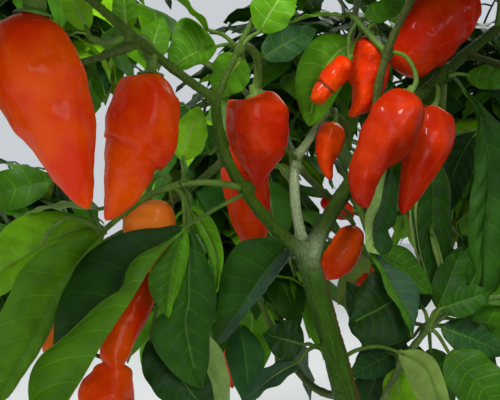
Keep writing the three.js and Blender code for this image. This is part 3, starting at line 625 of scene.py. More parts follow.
def add_blade(shape, leaf, tone, columns, rows, random):
    """A leaf's blade: a thin closed sheet in its own outline, folded and waved, raised between its veins.
    A blade with no given rows has as many veins on each side as columns."""
    half_width = leaf["width"] / 2
    length = np.linalg.norm(leaf["tip"] - leaf["base"])
    fold, wave = leaf["fold"], leaf["wave"]
    waves = 2.2 + 1.6 * random()
    phase = random() * 2 * math.pi
    other_phase = phase + 1.2 + 2 * random()
    strip = min(WIDEST_RIB, RIB_HALF_WIDTH / half_width)
    side = strip + (1 - strip) * np.linspace(0, 1, columns) ** 0.9
    across_share = np.concatenate([-side[::-1], side])
    if rows:
        s, swell, is_vein = plain_rows(rows, across_share)
    else:
        s, swell, is_vein = veined_rows(columns, length, across_share)
    v = np.repeat(across_share[None], len(s), axis=0)
    sweep = 4 * s * (1 - s)
    margin = s + VEIN_SLANT * sweep
    along = s + VEIN_SLANT * sweep * np.abs(v) ** 1.3
    half = half_width * blade_share(margin) * (1 + SCALLOP * np.sin(waves * 9 * s + phase) * np.abs(v))
    side_phase = np.where(v < 0, phase, other_phase)
    ruffle = wave * half_width * 0.5 * np.abs(v) ** 2.2 * np.sin(2 * math.pi * waves * along + side_phase)
    quilt = QUILT * half_width * swell * np.sqrt(np.abs(v) * (1 - np.abs(v)) + 1e-6)
    distance = v * half
    lift = half * (np.sin(fold) * np.abs(v) - leaf.get("droop", DROOP) * 0.5 * v**2)
    rise = lift + (ruffle + quilt) * blade_fade(s) - MIDRIB_DEPTH * dent(distance, 1.2)
    point, side_way, up = blade_frame(leaf, along)
    twist = leaf.get("twist", 0.0) * (along - 0.2)[..., None]
    turned_side = side_way * np.cos(twist) + up * np.sin(twist)
    turned_up = up * np.cos(twist) - side_way * np.sin(twist)
    top = point + turned_side * (distance * math.cos(fold))[..., None] + turned_up * rise[..., None]
    normal = normals_of(top)
    if (normal * turned_up).sum() < 0:
        normal = -normal
    thick = BLADE_THICKNESS * (1 + 2.0 * dent(distance, 1.0) * (1 - s))
    under = leaf.get("under") or UNDER[tone]
    tones, unders = blade_tones((len(s) - 1, len(across_share) - 1), is_vein, tone, tone, under)
    add_sheet(shape, top, normal, thick, tones, unders)


def add_sheet(shape, top, normal, thick, tones, unders):
    """A thin closed sheet on a grid of points: the given upper side, a lower side and a rim."""
    count, wide = top.shape[:2]
    under = top - normal * thick[..., None]
    points = np.vstack([top.reshape(-1, 3), under.reshape(-1, 3)])
    k, i = np.meshgrid(np.arange(count - 1), np.arange(wide - 1), indexing="ij")
    first = (k * wide + i).ravel()
    upper = np.stack([first, first + 1, first + wide + 1, first + wide], -1)
    lower = upper[:, [0, 3, 2, 1]] + count * wide
    edge = np.concatenate(
        [
            np.arange(wide),
            np.arange(1, count) * wide + wide - 1,
            (count - 1) * wide + np.arange(wide - 2, -1, -1),
            np.arange(count - 2, 0, -1) * wide,
        ]
    )
    after = np.roll(edge, -1)
    rim = np.stack([after, edge, edge + count * wide, after + count * wide], -1)
    faces = np.vstack([upper, lower, rim])
    turned = np.cross(np.gradient(top, axis=1), np.gradient(top, axis=0))
    if (turned * normal).sum() < 0:
        faces = faces[:, ::-1]
    rim_tones = np.full(len(rim), unders[0, 0])
    shape.add(points, faces, np.concatenate([tones.ravel(), unders.ravel(), rim_tones]))


def drawn_line(places, backs):
    """A line through places in the front view, with how far along it each of its points lies."""
    points = [place((right, up, back)) for (right, up), back in zip(places, backs)]
    fine = smooth_line(np.array(points), LINE_SAMPLES)
    walked = walk(fine)
    return walked / walked[-1], fine


def facing_viewer(top):
    """A drawn blade's normals, turned so that its left half faces the viewer."""
    normal = normals_of(top)
    return -normal if normal[:, :DRAWN_COLUMNS, 1].sum() > 0 else normal


def drawn_grid(row):
    """A drawn blade's points between its midrib and margins, and the places of its grid."""
    near, far = row["back"]
    base, tip = row["midrib"][0], row["midrib"][-1]
    lines = []
    for places, lift in (
        (row["midrib"], 0),
        ([base, *row["left"], tip], row["lift"][0]),
        ([base, *row["right"], tip], row["lift"][1]),
    ):
        turns = np.linspace(0, 1, len(places))
        lines.append(drawn_line(places, near + (far - near) * turns + lift * np.sin(math.pi * turns) ** 0.7))
    middle, *sides = lines
    length = np.linalg.norm(np.diff(middle[1], axis=0), axis=1).sum()
    checks = np.linspace(0.1, 0.9, 30)
    rib = at_shares(checks, *middle)
    width = max(np.linalg.norm(at_shares(checks, *side) - rib, axis=1).max() for side in sides)
    t = np.linspace(0, 1, DRAWN_COLUMNS) ** 0.95
    v = np.concatenate([-t[::-1], t])
    s, swell, is_vein = veined_rows(row.get("veins", DRAWN_VEINS), length, v)
    along = s + DRAWN_VEIN_SLANT * 4 * s * (1 - s) * np.abs(v) ** 1.2
    halves = []
    for side, part in zip(sides, (slice(0, DRAWN_COLUMNS), slice(DRAWN_COLUMNS, None))):
        rib, edge = at_shares(along[:, part], *middle), at_shares(along[:, part], *side)
        reach = np.linalg.norm(edge - rib, axis=2)
        strip = np.minimum(WIDEST_RIB, RIB_HALF_WIDTH / np.maximum(1.2, reach))
        to = strip + (1 - strip) * np.abs(v[part])
        halves.append(rib + (edge - rib) * to[..., None])
    return np.concatenate(halves, axis=1), s, np.repeat(v[None], len(s), axis=0), swell, is_vein, width


def add_drawn_blade(shape, row, random):
    """A leaf whose midrib and margins are placed as they are seen. Its left half shows its upper side,
    and so does its right half unless the margins lie on one side of the midrib, where it is folded."""
    top, s, v, swell, is_vein, width = drawn_grid(row)
    size = np.abs(v) * width
    puff = row["puff"] * width * swell * np.sqrt(np.abs(v) * (1 - np.abs(v) ** 3) + 1e-6)
    arch = ARCH * width * 4 * np.abs(v) * (1 - np.abs(v))
    phase = 6.3 * random()
    ripple = RIPPLE * width * np.abs(v) ** 3 * np.sin(17 * s + phase + 2.1 * (v < 0))
    rise = (puff + arch + ripple) * blade_fade(s) - DRAWN_MIDRIB_DEPTH * dent(size, 1.3)
    top = top + facing_viewer(top) * rise[..., None]
    thick = BLADE_THICKNESS * (1 + 2.5 * dent(size, 1.2) * (1 - s))
    tone = row["tone"]
    left, right = row.get("left_tone", tone), row.get("right_tone", tone)
    under = row.get("under") or UNDER[tone]
    tones, unders = blade_tones((len(s) - 1, v.shape[1] - 1), is_vein, left, right, under)
    add_sheet(shape, top, facing_viewer(top), thick, tones, unders)


def add_petiole(shape, leaf, sides, thick, thin, steps):
    """A leaf's stalk: it leaves its twig, sags a little and ends under the blade's base."""
    start, base = leaf["from"], leaf["base"]
    along_blade = unit(leaf["tip"] - leaf["base"])
    middle = (start + base) / 2 + UP * np.linalg.norm(base - start) * STALK_SAG
    line = smooth_line([start, middle, base, base + along_blade * STALK_INSIDE], steps)
    add_tube(shape, line, np.linspace(thick, thin, steps), sides)


# Fruit


def fruit_share(share):
    """The girth of a plain fruit, as a share of its greatest, from its shoulder at 0 to its tip at 1."""
    rise, fall = FRUIT_POWERS
    return share**rise * (1 - share) ** fall / (FRUIT_WIDEST**rise * (1 - FRUIT_WIDEST) ** fall)


def wander(turn, share):
    """How a crease or scar strays along the fruit as it runs round it, as a share of the length."""
    return 0.012 * np.sin(2 * turn + 7 * share) + 0.007 * np.sin(5 * turn + 3)


def add_fruit(shape, spine, radii, grid, random, lobes, wrinkle, tone, creases=(), scars=()):
    """A fruit's skin round its spine: rounded at both ends, lobed at the shoulder and softly wrinkled,
    with a crease or a scarred ring round it at each given share of its length."""
    rings, sides = grid
    spread = (1 - np.cos(np.linspace(0, math.pi, rings))) / 2
    spread = (1 - EVEN_RINGS) * spread + EVEN_RINGS * np.linspace(0, 1, rings)
    fine = smooth_line(spine, FRUIT_SAMPLES)
    walked = walk(fine)
    length = walked[-1]
    walked /= length
    line = at_shares(spread, walked, fine)
    at = np.interp(spread, walked, np.linspace(0, 1, FRUIT_SAMPLES))
    columns = np.array(radii, float)[:, None].repeat(3, 1)
    girth = np.clip(smooth_line(columns, FRUIT_SAMPLES)[:, 0], LEAST_GIRTH, None)
    radius = np.interp(at, np.linspace(0, 1, FRUIT_SAMPLES), girth)
    top = np.clip(spread / SHOULDER, 0, 1)
    tip = np.clip((1 - spread) / TIP, 0, 1)
    radius = radius * np.sqrt(1 - (1 - top) ** 2 + 1e-4) * np.sqrt(1 - (1 - tip) ** 2 + 1e-4)
    turn, ways = ways_round(line, sides)
    count = 3 if random() < 0.6 else 4
    phase = random() * 2 * math.pi
    swirl = (random() - 0.5) * 1.2
    swell = np.ones((rings, sides))
    fade = dent(spread - SHOULDER, LOBE_REACH)[:, None]
    swell += lobes * fade * np.cos(count * (turn[None] + swirl * spread[:, None]) + phase)
    for _ in range(SWELLINGS):
        high = 2 + int(random() * 5)
        wide = int(random() * 5)
        size = wrinkle * (0.35 + random()) / (1 + 0.25 * high)
        swell += size * np.sin(high * math.pi * spread[:, None] * 1.6 + wide * turn[None] + random() * 6.3)
    depth = radius[:, None] * swell
    for share in (*creases, *scars):
        groove = dent((spread[:, None] - share - wander(turn, share)) * length, CREASE_REACH)
        depth = depth - CREASE_DEPTH * girth.max() * groove
    skin = line[:, None] + ways * depth[:, :, None]
    if sides > DIMPLED_SIDES:
        skin = skin + ways * dimples(skin, wrinkle)[..., None] * np.minimum(top, tip)[:, None, None]
    points, faces = closed_body(skin, line[:1], line[-1:])
    tones = np.full(len(faces), tone)
    middles = (spread[:-1, None] + spread[1:, None]) / 2 + 0 * turn[None]
    for share in scars:
        scarred = np.abs(middles - share - wander(turn, share)) * length < SCAR_REACH
        tones[: scarred.size][scarred.ravel()] = SCAR
    shape.add(points, faces, tones)


def noise_at(x, y, z, size, shift=0):
    """Noise between -1 and 1 whose features have the given size."""
    return noise.noise(Vector((x / size[0] + shift, y / size[1], z / size[2])))


def dimples(points, wrinkle):
    """How far a fruit's skin stands proud at each point: shallow folds that run down it, pits and pores."""
    heights = np.empty(points.shape[:2])
    for k, ring in enumerate(points):
        for i, (x, y, z) in enumerate(ring):
            folds = FOLD_DEPTH * noise_at(x, y, z, FOLD_SIZE)
            pits = PIT_DEPTH * noise_at(x, y, z, PIT_SIZE)
            heights[k, i] = folds + pits + PORE_DEPTH * noise_at(x, y, z, PORE_SIZE)
    return heights * (0.5 + 25 * wrinkle)


def add_calyx(shape, top, axis, radius, stalk_radius, random, sides=20):
    """The green cap on a fruit's shoulder: it flares from the stalk to a wavy rim that lies on the fruit."""
    across = unit(np.cross(axis, [0.31, 0.9, 0.2]))
    other = np.cross(axis, across)
    turn = np.arange(sides) * 2 * math.pi / sides
    phase = random() * 6.3
    rim = 1 + 0.13 * np.cos(5 * turn + phase) + 0.05 * np.cos(9 * turn)
    rings = []
    for height, wide, wavy in CALYX_RINGS:
        reach = radius * wide / CALYX_WIDEST if wide > CALYX_STALK else stalk_radius * wide
        size = reach * (1 + wavy * (rim - 1))
        ring = top + axis * height * radius + across * (size * np.cos(turn))[:, None]
        rings.append(ring + other * (size * np.sin(turn))[:, None])
    rings = np.array(rings)
    shape.add(*closed_body(rings, rings[0].mean(0), rings[-1].mean(0)), 0)


# The ways that the upper sides of the leaves shown face, as [right, up, back]
FACES = {
    "viewer": (0, 0.25, -1),
    "away": (0.1, 0.3, 1),
    "sky": (0, 1, -0.25),
    "left": (-1, 0.3, -0.1),
}


def shown_leaf(start, base, tip, width, more=()):
    leaf = {"from": place(start), "base": place(base), "tip": place(tip), "width": width}
    leaf.update({"face": "viewer", "fold": SHOWN_FOLD, "wave": SHOWN_WAVE, "veins": SHOWN_BLADE_VEINS})
    leaf.update(more)
    leaf["bow"] = np.linalg.norm(leaf["base"] - leaf["tip"]) * SHOWN_BOW
    right, up, back = FACES[leaf["face"]]
    leaf["face"] = unit(np.array([right, back, up], float))
    return leaf


def spray_table():
    """The sprays and fruits round the fork, as in the solids and with some finer leaves. Each has its node,
    twigs, leaves [grows from, base, tip, width, tone, and what sets it apart] and fruits."""
    n_left = (-37, 33, -9)
    n_high = (-103, 119, -74)
    n_inner = (-41, 111, -19)
    n_mid = (7, 77, 46)
    n_up = (42, 109, 5)
    n_right = (74, 98, 44)
    n_low = (50, -64, 11)
    n_shoot = (65, -44, 16)
    return {
        "spray_left": {
            "node": (n_left, 5.0),
            "twigs": [
                [n_left, (-49, 36, -16), (-60, 37, -20), (-74, 36, -24)],
                [(-74, 36, -24), (-91, 30, -20), (-105, 20, -18), (-118, 9, -20)],
                [(-118, 9, -20), (-128, -22, -18), (-126, -52, -20)],
            ],
            "leaves": [
                [(-72, 37, -24), (-73, 49, -17), (-63, 80, -8), 20, "bright"],
                [(-70, 15, -8), (-91, -50, -4), (-54, -99, -10), 32, "deep", {"veins": 8}],
                [(-105, 20, -18), (-119, 22, -12), (-164, 18, -2), 15, "pale", {"face": "sky"}],
                [(-118, 9, -20), (-139, 17, -20), (-152, 1, -18), 7, "blue", {"face": "left", "fold": 0.5}],
                [(-105, 20, -18), (-98, 0, 20), (-76, -34, 34), 16, "olive"],
                [(-118, 9, -20), (-146, 38, 20), (-196, 23, 34), 26, "mid"],
                [(-69, 22, -6), (-66, -46, 2), (-47, -93, 4), 20, "pale"],
            ],
            "fruits": ["low_pale", "low_long", "low_bell", "low_thin"],
        },
        "leaf_left_inner": {
            "leaves": [[(-49, 56, -16), (-57, 53, 0), (-70, 72, 12), 20, "dark"]],
        },
        "fruit_left_near": {"fruits": ["near"]},
        "fruit_left": {"fruits": ["creased"]},
        "spray_left_high": {
            "node": (n_high, 4.0),
            "twigs": [[(-103, 120, -74), (-114, 115, -78), (-125, 118, -80)]],
            "leaves": [
                [(-103, 120, -74), (-104, 122, -62), (-106, 147, -62), 13, "fresh"],
                [(-103, 120, -74), (-102, 111, -54), (-118, 121, -48), 16, "mid"],
                [(-103, 120, -74), (-92, 104, -44), (-84, 130, -34), 17, "fresh"],
                [(-125, 118, -80), (-126, 122, -80), (-139, 149, -84), 13, "bright"],
            ],
        },
        "spray_inner": {
            "node": (n_inner, 3.6),
            "leaves": [
                [n_inner, (-39, 107, -10), (-55, 84, 2), 24, "fresh"],
                [n_inner, (-30, 121, -18), (-10, 152, -24), 24, "fresh"],
                [n_inner, (-58, 122, -30), (-86, 146, -42), 22, "bright", {"face": "sky"}],
                [n_inner, (-28, 107, 8), (3, 123, 14), 21, "teal"],
            ],
            "fruits": ["middle"],
        },
        "fruit_behind_left": {"fruits": ["behind"]},
        "spray_middle": {
            "node": (n_mid, 4.0),
            "twigs": [[n_mid, (18, 70, 46), (21, 56, 48)]],
            "leaves": [[(21, 56, 48), (26, 50, 60), (34, 6, 60), 20, "deep", {"wave": 0.4}]],
            "fruits": ["small_hook"],
        },
        "leaf_fork_back": {},
        "spray_right_inner": {
            "twigs": [[(20, 32, 12), (27, 20, 14), (32, 6, 10), (40, -14, 8)]],
            "leaves": [
                [(33, 5, 11), (30, -4, 40), (14, -32, 46), 17, "bright", {"face": "away", "under": "light"}],
            ],
        },
        "fruit_fork_right": {"fruits": ["bean", "peep_low", "peep_high"]},
        "spray_right_upright": {
            "node": (n_up, 4.0),
            "twigs": [[n_up, (34, 117, 8), (25, 127, 10), (21, 131, 12)]],
            "leaves": [
                [(21, 131, 12), (18, 130, 14), (-14, 126, 20), 22, "bright", {"face": "sky"}],
                [(25, 127, 10), (29, 128, 18), (55, 138, 30), 14, "mid"],
            ],
            "fruits": ["curved", "puckered", "ringed"],
        },
        "fruit_right_high": {"fruits": ["slanting"]},
        "leaf_right_inner": {},
        "spray_right": {
            "node": (n_right, 6.4),
            "twigs": [[n_right, (72, 60, 64), (69, 20, 62), (68, 8, 56)]],
            "leaves": [
                [(76, 96, 38), (86, 97, 38), (114, 91, 30), 16, "mid"],
            ],
        },
        "fruit_right": {"fruits": ["second"]},
        "leaf_stem_right": {},
        "spray_shoot_low": {
            "node": (n_low, 3.8),
            "leaves": [
                [n_low, (47, -67, 16), (50, -103, 16), 20, "bright"],
                [n_low, (46, -58, 24), (20, -72, 28), 19, "teal"],
                [n_low, (42, -58, 24), (19, -18, 26), 25, "deep", {"veins": 8}],
            ],
        },
        "spray_shoot_high": {
            "node": (n_shoot, 3.8),
            "leaves": [
                [n_shoot, (76, -58, 8), (112, -99, -6), 30, "mid", {"veins": 8}],
                [n_shoot, (72, -44, 20), (110, -60, 16), 20, "teal", {"veins": 8}],
                [(66, -44, 13), (72, -34, 14), (101, -24, 12), 18, "dark", {"veins": 8}],
                [n_shoot, (66, -56, 26), (74, -98, 34), 24, "dark"],
                [n_shoot, (80, -40, 30), (126, -46, 40), 24, "mid"],
                [n_shoot, (62, -34, 34), (48, -8, 48), 22, "deep"],
                [n_shoot, (70, -34, 34), (84, 2, 50), 20, "dark"],
                [n_shoot, (56, -50, 34), (22, -36, 46), 22, "deep"],
                [n_shoot, (46, -46, 34), (28, -90, 42), 32, "deep"],
                [n_shoot, (58, -54, 32), (48, -98, 38), 26, "dark"],
                [n_shoot, (84, -50, 32), (98, -94, 44), 30, "deep"],
                [n_shoot, (88, -38, 40), (124, -12, 50), 28, "mid"],
                [n_shoot, (84, -30, 42), (104, 14, 54), 26, "dark"],
            ],
        },
        "spray_stem_left": {
            "twigs": [[(13, -56, 0), (0, -55, 8)]],
            "leaves": [
                [(1, -55, 7), (-5, -54, 12), (-28, -48, 16), 24, "deep"],
                [(1, -55, 7), (-8, -64, 8), (-40, -88, 2), 22, "blue", {"face": "sky", "under": "pale"}],
            ],
        },
    }


# Leaves whose outlines show well: stalk [right, up, back], then midrib and margins [right, up] in the
# front view, how far back the base and tip are, and how far back each margin lies from the midrib.
DRAWN_LEAVES = {
    "spray_left": [
        {"stalk": [(-37, 31, -9), (-47, 26, -16), (-63, 17, -26), (-72, 11, -34)],
         "midrib": [(-72, 11), (-80, 4), (-88, -6), (-96, -18), (-104, -31), (-112, -44), (-120, -57),
             (-128, -71), (-138, -87), (-150, -108)],
         "left": [(-73, 14), (-86, 11), (-96, 10), (-108, 7), (-116, 4), (-125, -1), (-133, -9),
             (-137, -17), (-141, -26), (-143, -37), (-144, -52), (-148, -71), (-151, -94)],
         "right": [(-78, 7), (-87, 2), (-95, -2), (-100, -6), (-103, -11), (-104, -16), (-104, -22),
             (-108, -26), (-116, -30), (-125, -36), (-135, -44), (-144, -52), (-152, -60), (-158, -72),
             (-159, -85), (-155, -99)],
         "back": (-34, -62), "lift": (24, -16), "tone": "deep", "under": "leafy", "puff": 0.05},
        {"stalk": [(-77, 35, -22), (-72, 29, -18), (-70, 21, -14), (-70, 15, -14)],
         "midrib": [(-70, 15), (-69, -1), (-69, -18), (-69, -30), (-71, -41), (-69, -54), (-66, -67),
             (-62, -79)],
         "left": [(-71, 12), (-72, -1), (-74, -13), (-76, -25), (-80, -34), (-87, -39), (-90, -46),
             (-89, -55), (-84, -63), (-77, -71), (-68, -77)],
         "right": [(-68, 12), (-62, 1), (-57, -11), (-54, -24), (-55, -38), (-57, -49), (-58, -60),
             (-59, -69), (-60, -76)],
         "back": (-14, -16), "lift": (-5, 6), "tone": "dark", "puff": 0.045},
        {"stalk": [(-78, 35, -22), (-73, 29, -24), (-72, 21, -24), (-72, 13, -22)],
         "midrib": [(-72, 13), (-75, 2), (-78, -9), (-80, -20), (-81, -30), (-81, -39)],
         "left": [(-74, 11), (-81, 0), (-88, -8), (-92, -16), (-91, -24), (-87, -32), (-82, -38)],
         "right": [(-70, 10), (-69, -1), (-71, -12), (-74, -22), (-77, -30), (-80, -38)],
         "back": (-22, -26), "lift": (-3, 3), "tone": "fresh", "left_tone": "mid", "puff": 0.05},
        {"stalk": [(-74, 36, -22), (-69, 29, -12), (-69, 22, -6)],
         "midrib": [(-69, 22), (-62, 12), (-56, 0), (-53, -12), (-54, -25)],
         "left": [(-69, 20), (-64, 8), (-59, -3), (-55, -15), (-54, -23)],
         "right": [(-64, 22), (-56, 16), (-51, 4), (-50, -8), (-52, -19)],
         "back": (-6, -4), "lift": (2, -3), "tone": "fresh", "puff": 0.07},
        {"stalk": [(-116, 9, -20), (-117, 8, -21)],
         "midrib": [(-117, 8), (-125, 0), (-133, -10), (-141, -22), (-149, -36), (-157, -52), (-166, -68),
             (-177, -86)],
         "left": [(-120, 10), (-130, 7), (-141, 4), (-150, 0), (-157, -6), (-164, -13), (-169, -24),
             (-174, -34), (-179, -46), (-183, -63), (-181, -78)],
         "right": [(-116, 4), (-122, -4), (-128, -15), (-134, -25), (-141, -36), (-148, -48), (-155, -60),
             (-164, -75), (-172, -85)],
         "back": (-22, -24), "lift": (-8, 6), "tone": "leafy", "puff": 0.05},
        {"stalk": [(-116, 10, -18), (-116, 11, -12)],
         "midrib": [(-116, 11), (-131, 11), (-146, 5), (-160, -3), (-175, -12), (-189, -25)],
         "left": [(-118, 14), (-129, 18), (-141, 21), (-155, 20), (-168, 15), (-179, 4), (-187, -10)],
         "right": [(-119, 8), (-131, 3), (-146, -5), (-158, -14), (-170, -24), (-183, -29)],
         "back": (-10, -6), "lift": (4, -6), "tone": "bright", "puff": 0.06},
    ],
    "leaf_fork_back": [
        {"stalk": [(-5, 12, 9), (-9, 8, 18), (-12, 3, 22)],
         "midrib": [(-12, 3), (-22, -8), (-31, -20), (-40, -34), (-49, -46), (-57, -58)],
         "left": [(-16, 6), (-28, 6), (-40, 4), (-48, -6), (-52, -24), (-55, -44)],
         "right": [(-11, -1), (-16, -11), (-25, -21), (-35, -31), (-43, -42), (-52, -53)],
         "back": (22, 24), "lift": (-8, 6), "tone": "dark", "right_tone": "blue", "puff": 0.06},
    ],
    "spray_inner": [
        {"stalk": [(-41, 111, -19), (-47, 114, -18), (-54, 113, -20)],
         "midrib": [(-54, 113), (-62, 111), (-71, 107), (-80, 100)],
         "left": [(-55, 116), (-62, 125), (-70, 129), (-76, 126), (-79, 118), (-81, 108)],
         "right": [(-54, 110), (-60, 104), (-68, 101), (-75, 100)],
         "back": (-20, -34), "lift": (6, -4), "tone": "fresh", "under": "fresh", "puff": 0.06},
    ],
    "leaf_right_inner": [
        {"stalk": [(33, 54, 20), (38, 52, 12), (43, 48, 4)],
         "midrib": [(43, 48), (40, 37), (38, 25), (34, 15), (34, 4), (38, -4)],
         "left": [(39, 47), (35, 37), (33, 27), (30, 18), (29, 8), (31, -1)],
         "right": [(45, 44), (48, 34), (47, 22), (46, 13), (43, 10), (45, 3), (43, -2)],
         "back": (2, -8), "lift": (-7, 5), "tone": "deep", "left_tone": "pale", "puff": 0.08},
    ],
    "spray_right_inner": [
        {"stalk": [(32, 6, 10), (31, 2, 4)],
         "midrib": [(31, 1), (39, -11), (45, -22), (51, -31), (55, -39), (56, -50)],
         "left": [(32, -3), (38, -14), (42, -24), (48, -34), (53, -43)],
         "right": [(34, -1), (44, -9), (54, -16), (60, -24), (60, -31), (57, -41)],
         "back": (0, -12), "lift": (-5, 7), "tone": "blue", "left_tone": "mid", "puff": 0.08},
        {"stalk": [(33, 5, 11), (36, 1, 20)],
         "midrib": [(37, -2), (45, -6), (52, -10), (59, -17), (67, -26)],
         "left": [(38, -8), (45, -13), (52, -19), (59, -25)],
         "right": [(39, -1), (46, 2), (54, -1), (60, -8), (66, -19)],
         "back": (20, 24), "lift": (-4, 4), "tone": "mid", "puff": 0.06},
        {"stalk": [(38, -9, 8), (46, -17, 10), (52, -24, 14)],
         "midrib": [(52, -24), (45, -29), (37, -34), (29, -38), (20, -43)],
         "left": [(49, -20), (43, -16), (35, -13), (29, -18), (24, -26), (21, -35)],
         "right": [(54, -29), (57, -40), (53, -50), (43, -55), (31, -55), (23, -49)],
         "back": (14, 4), "lift": (8, -8), "tone": "deep", "puff": 0.02},
    ],
    "spray_right": [
        {"stalk": [(74, 95, 43), (77, 97, 44), (81, 94, 44), (84, 90, 44)],
         "midrib": [(84, 90), (90, 83), (94, 74), (97, 63), (99, 49), (99, 35), (98, 21), (96, 7), (95, -7),
             (93, -21), (94, -32)],
         "left": [(92, 73), (92, 63), (91, 52), (91, 41), (88, 30), (87, 16), (88, 2), (91, -12),
             (92, -24)],
         "right": [(100, 74), (108, 66), (116, 49), (121, 27), (116, 4), (108, -15), (100, -28)],
         "back": (44, 38), "lift": (-4, 5), "tone": "dark", "puff": 0.1},
        {"stalk": [(72, 63, 63), (69, 58, 58), (68, 52, 52)],
         "midrib": [(68, 52), (68, 32), (68, 13), (68, -6), (71, -21), (73, -35)],
         "left": [(66, 49), (59, 37), (55, 22), (57, 9), (59, -4), (63, -17), (70, -29)],
         "right": [(71, 49), (77, 36), (78, 20), (77, 2), (76, -13), (75, -27)],
         "back": (50, 44), "lift": (-5, 7), "tone": "dark", "puff": 0.11},
        {"stalk": [(68, 8, 56), (71, 3, 57)],
         "midrib": [(71, 2), (76, -8), (78, -18), (78, -27), (75, -38)],
         "left": [(71, -3), (71, -15), (72, -26), (73, -35)],
         "right": [(75, 2), (83, -4), (87, -15), (88, -25), (83, -31)],
         "back": (58, 60), "lift": (-3, 4), "tone": "teal", "puff": 0.07},
        {"stalk": [(68, 52, 52), (64, 46, 50)],
         "midrib": [(64, 46), (59, 37), (56, 25), (57, 12), (59, -1), (62, -13), (66, -22)],
         "left": [(60, 42), (56, 32), (54, 22), (55, 9), (58, -5), (62, -16)],
         "right": [(63, 40), (60, 30), (58, 19), (59, 7), (61, -4), (64, -14)],
         "back": (44, 40), "lift": (1, -1), "tone": "pale", "veins": 3, "puff": 0.02},
        {"stalk": [(69, 20, 62), (67, 14, 50), (66, 10, 42)],
         "midrib": [(66, 10), (69, 1), (71, -9), (73, -19), (72, -30)],
         "left": [(66, 4), (68.6, -5), (71, -15), (71.4, -25)],
         "right": [(69, 7), (72, -3), (74, -13), (74.6, -24)],
         "back": (42, 40), "lift": (1, -1), "tone": "pale", "veins": 3, "puff": 0.02},
        {"stalk": [(69, 20, 62), (76, 14, 70), (82, 8, 76)],
         "midrib": [(82, 8), (87, -2), (91, -12), (95, -22), (98, -32)],
         "left": [(81, 1), (83, -9), (86, -19), (91, -29)],
         "right": [(89, 6), (97, -2), (102, -12), (102, -23)],
         "back": (76, 80), "lift": (-3, 4), "tone": "dark", "puff": 0.08},
        {"stalk": [(72, 60, 64), (82, 64, 72), (92, 66, 78)],
         "midrib": [(92, 66), (86, 56), (80, 44), (76, 32), (74, 20)],
         "left": [(84, 66), (76, 56), (71, 44), (70, 30)],
         "right": [(94, 56), (90, 44), (85, 32), (79, 22)],
         "back": (78, 82), "lift": (-3, 4), "tone": "deep", "puff": 0.08},
    ],
    "spray_right_upright": [
        {"stalk": [(25, 127, 10), (27, 121, 16), (24, 115, 20)],
         "midrib": [(24, 115), (14, 110), (6, 99), (1, 85), (-2, 68)],
         "left": [(19, 119), (7, 120), (-3, 113), (-9, 100), (-9, 85), (-6, 74)],
         "right": [(25, 111), (20, 97), (13, 84), (5, 72)],
         "back": (20, 24), "lift": (3, -2), "tone": "fresh", "puff": 0.06},
    ],
    "leaf_stem_right": [
        {"stalk": [(16, -62, 0), (25, -57, -6), (37, -55, -12), (48, -58, -14)],
         "midrib": [(48, -58), (56, -62), (63, -68), (67, -77), (71, -90), (75, -100)],
         "left": [(48, -61), (51, -68), (55, -77), (59, -85), (66, -95)],
         "right": [(52, -57), (60, -57), (68, -62), (73, -71), (76, -82), (77, -92)],
         "back": (-14, -24), "lift": (3, -4), "tone": "light", "under": "light", "puff": 0.07},
    ],
}

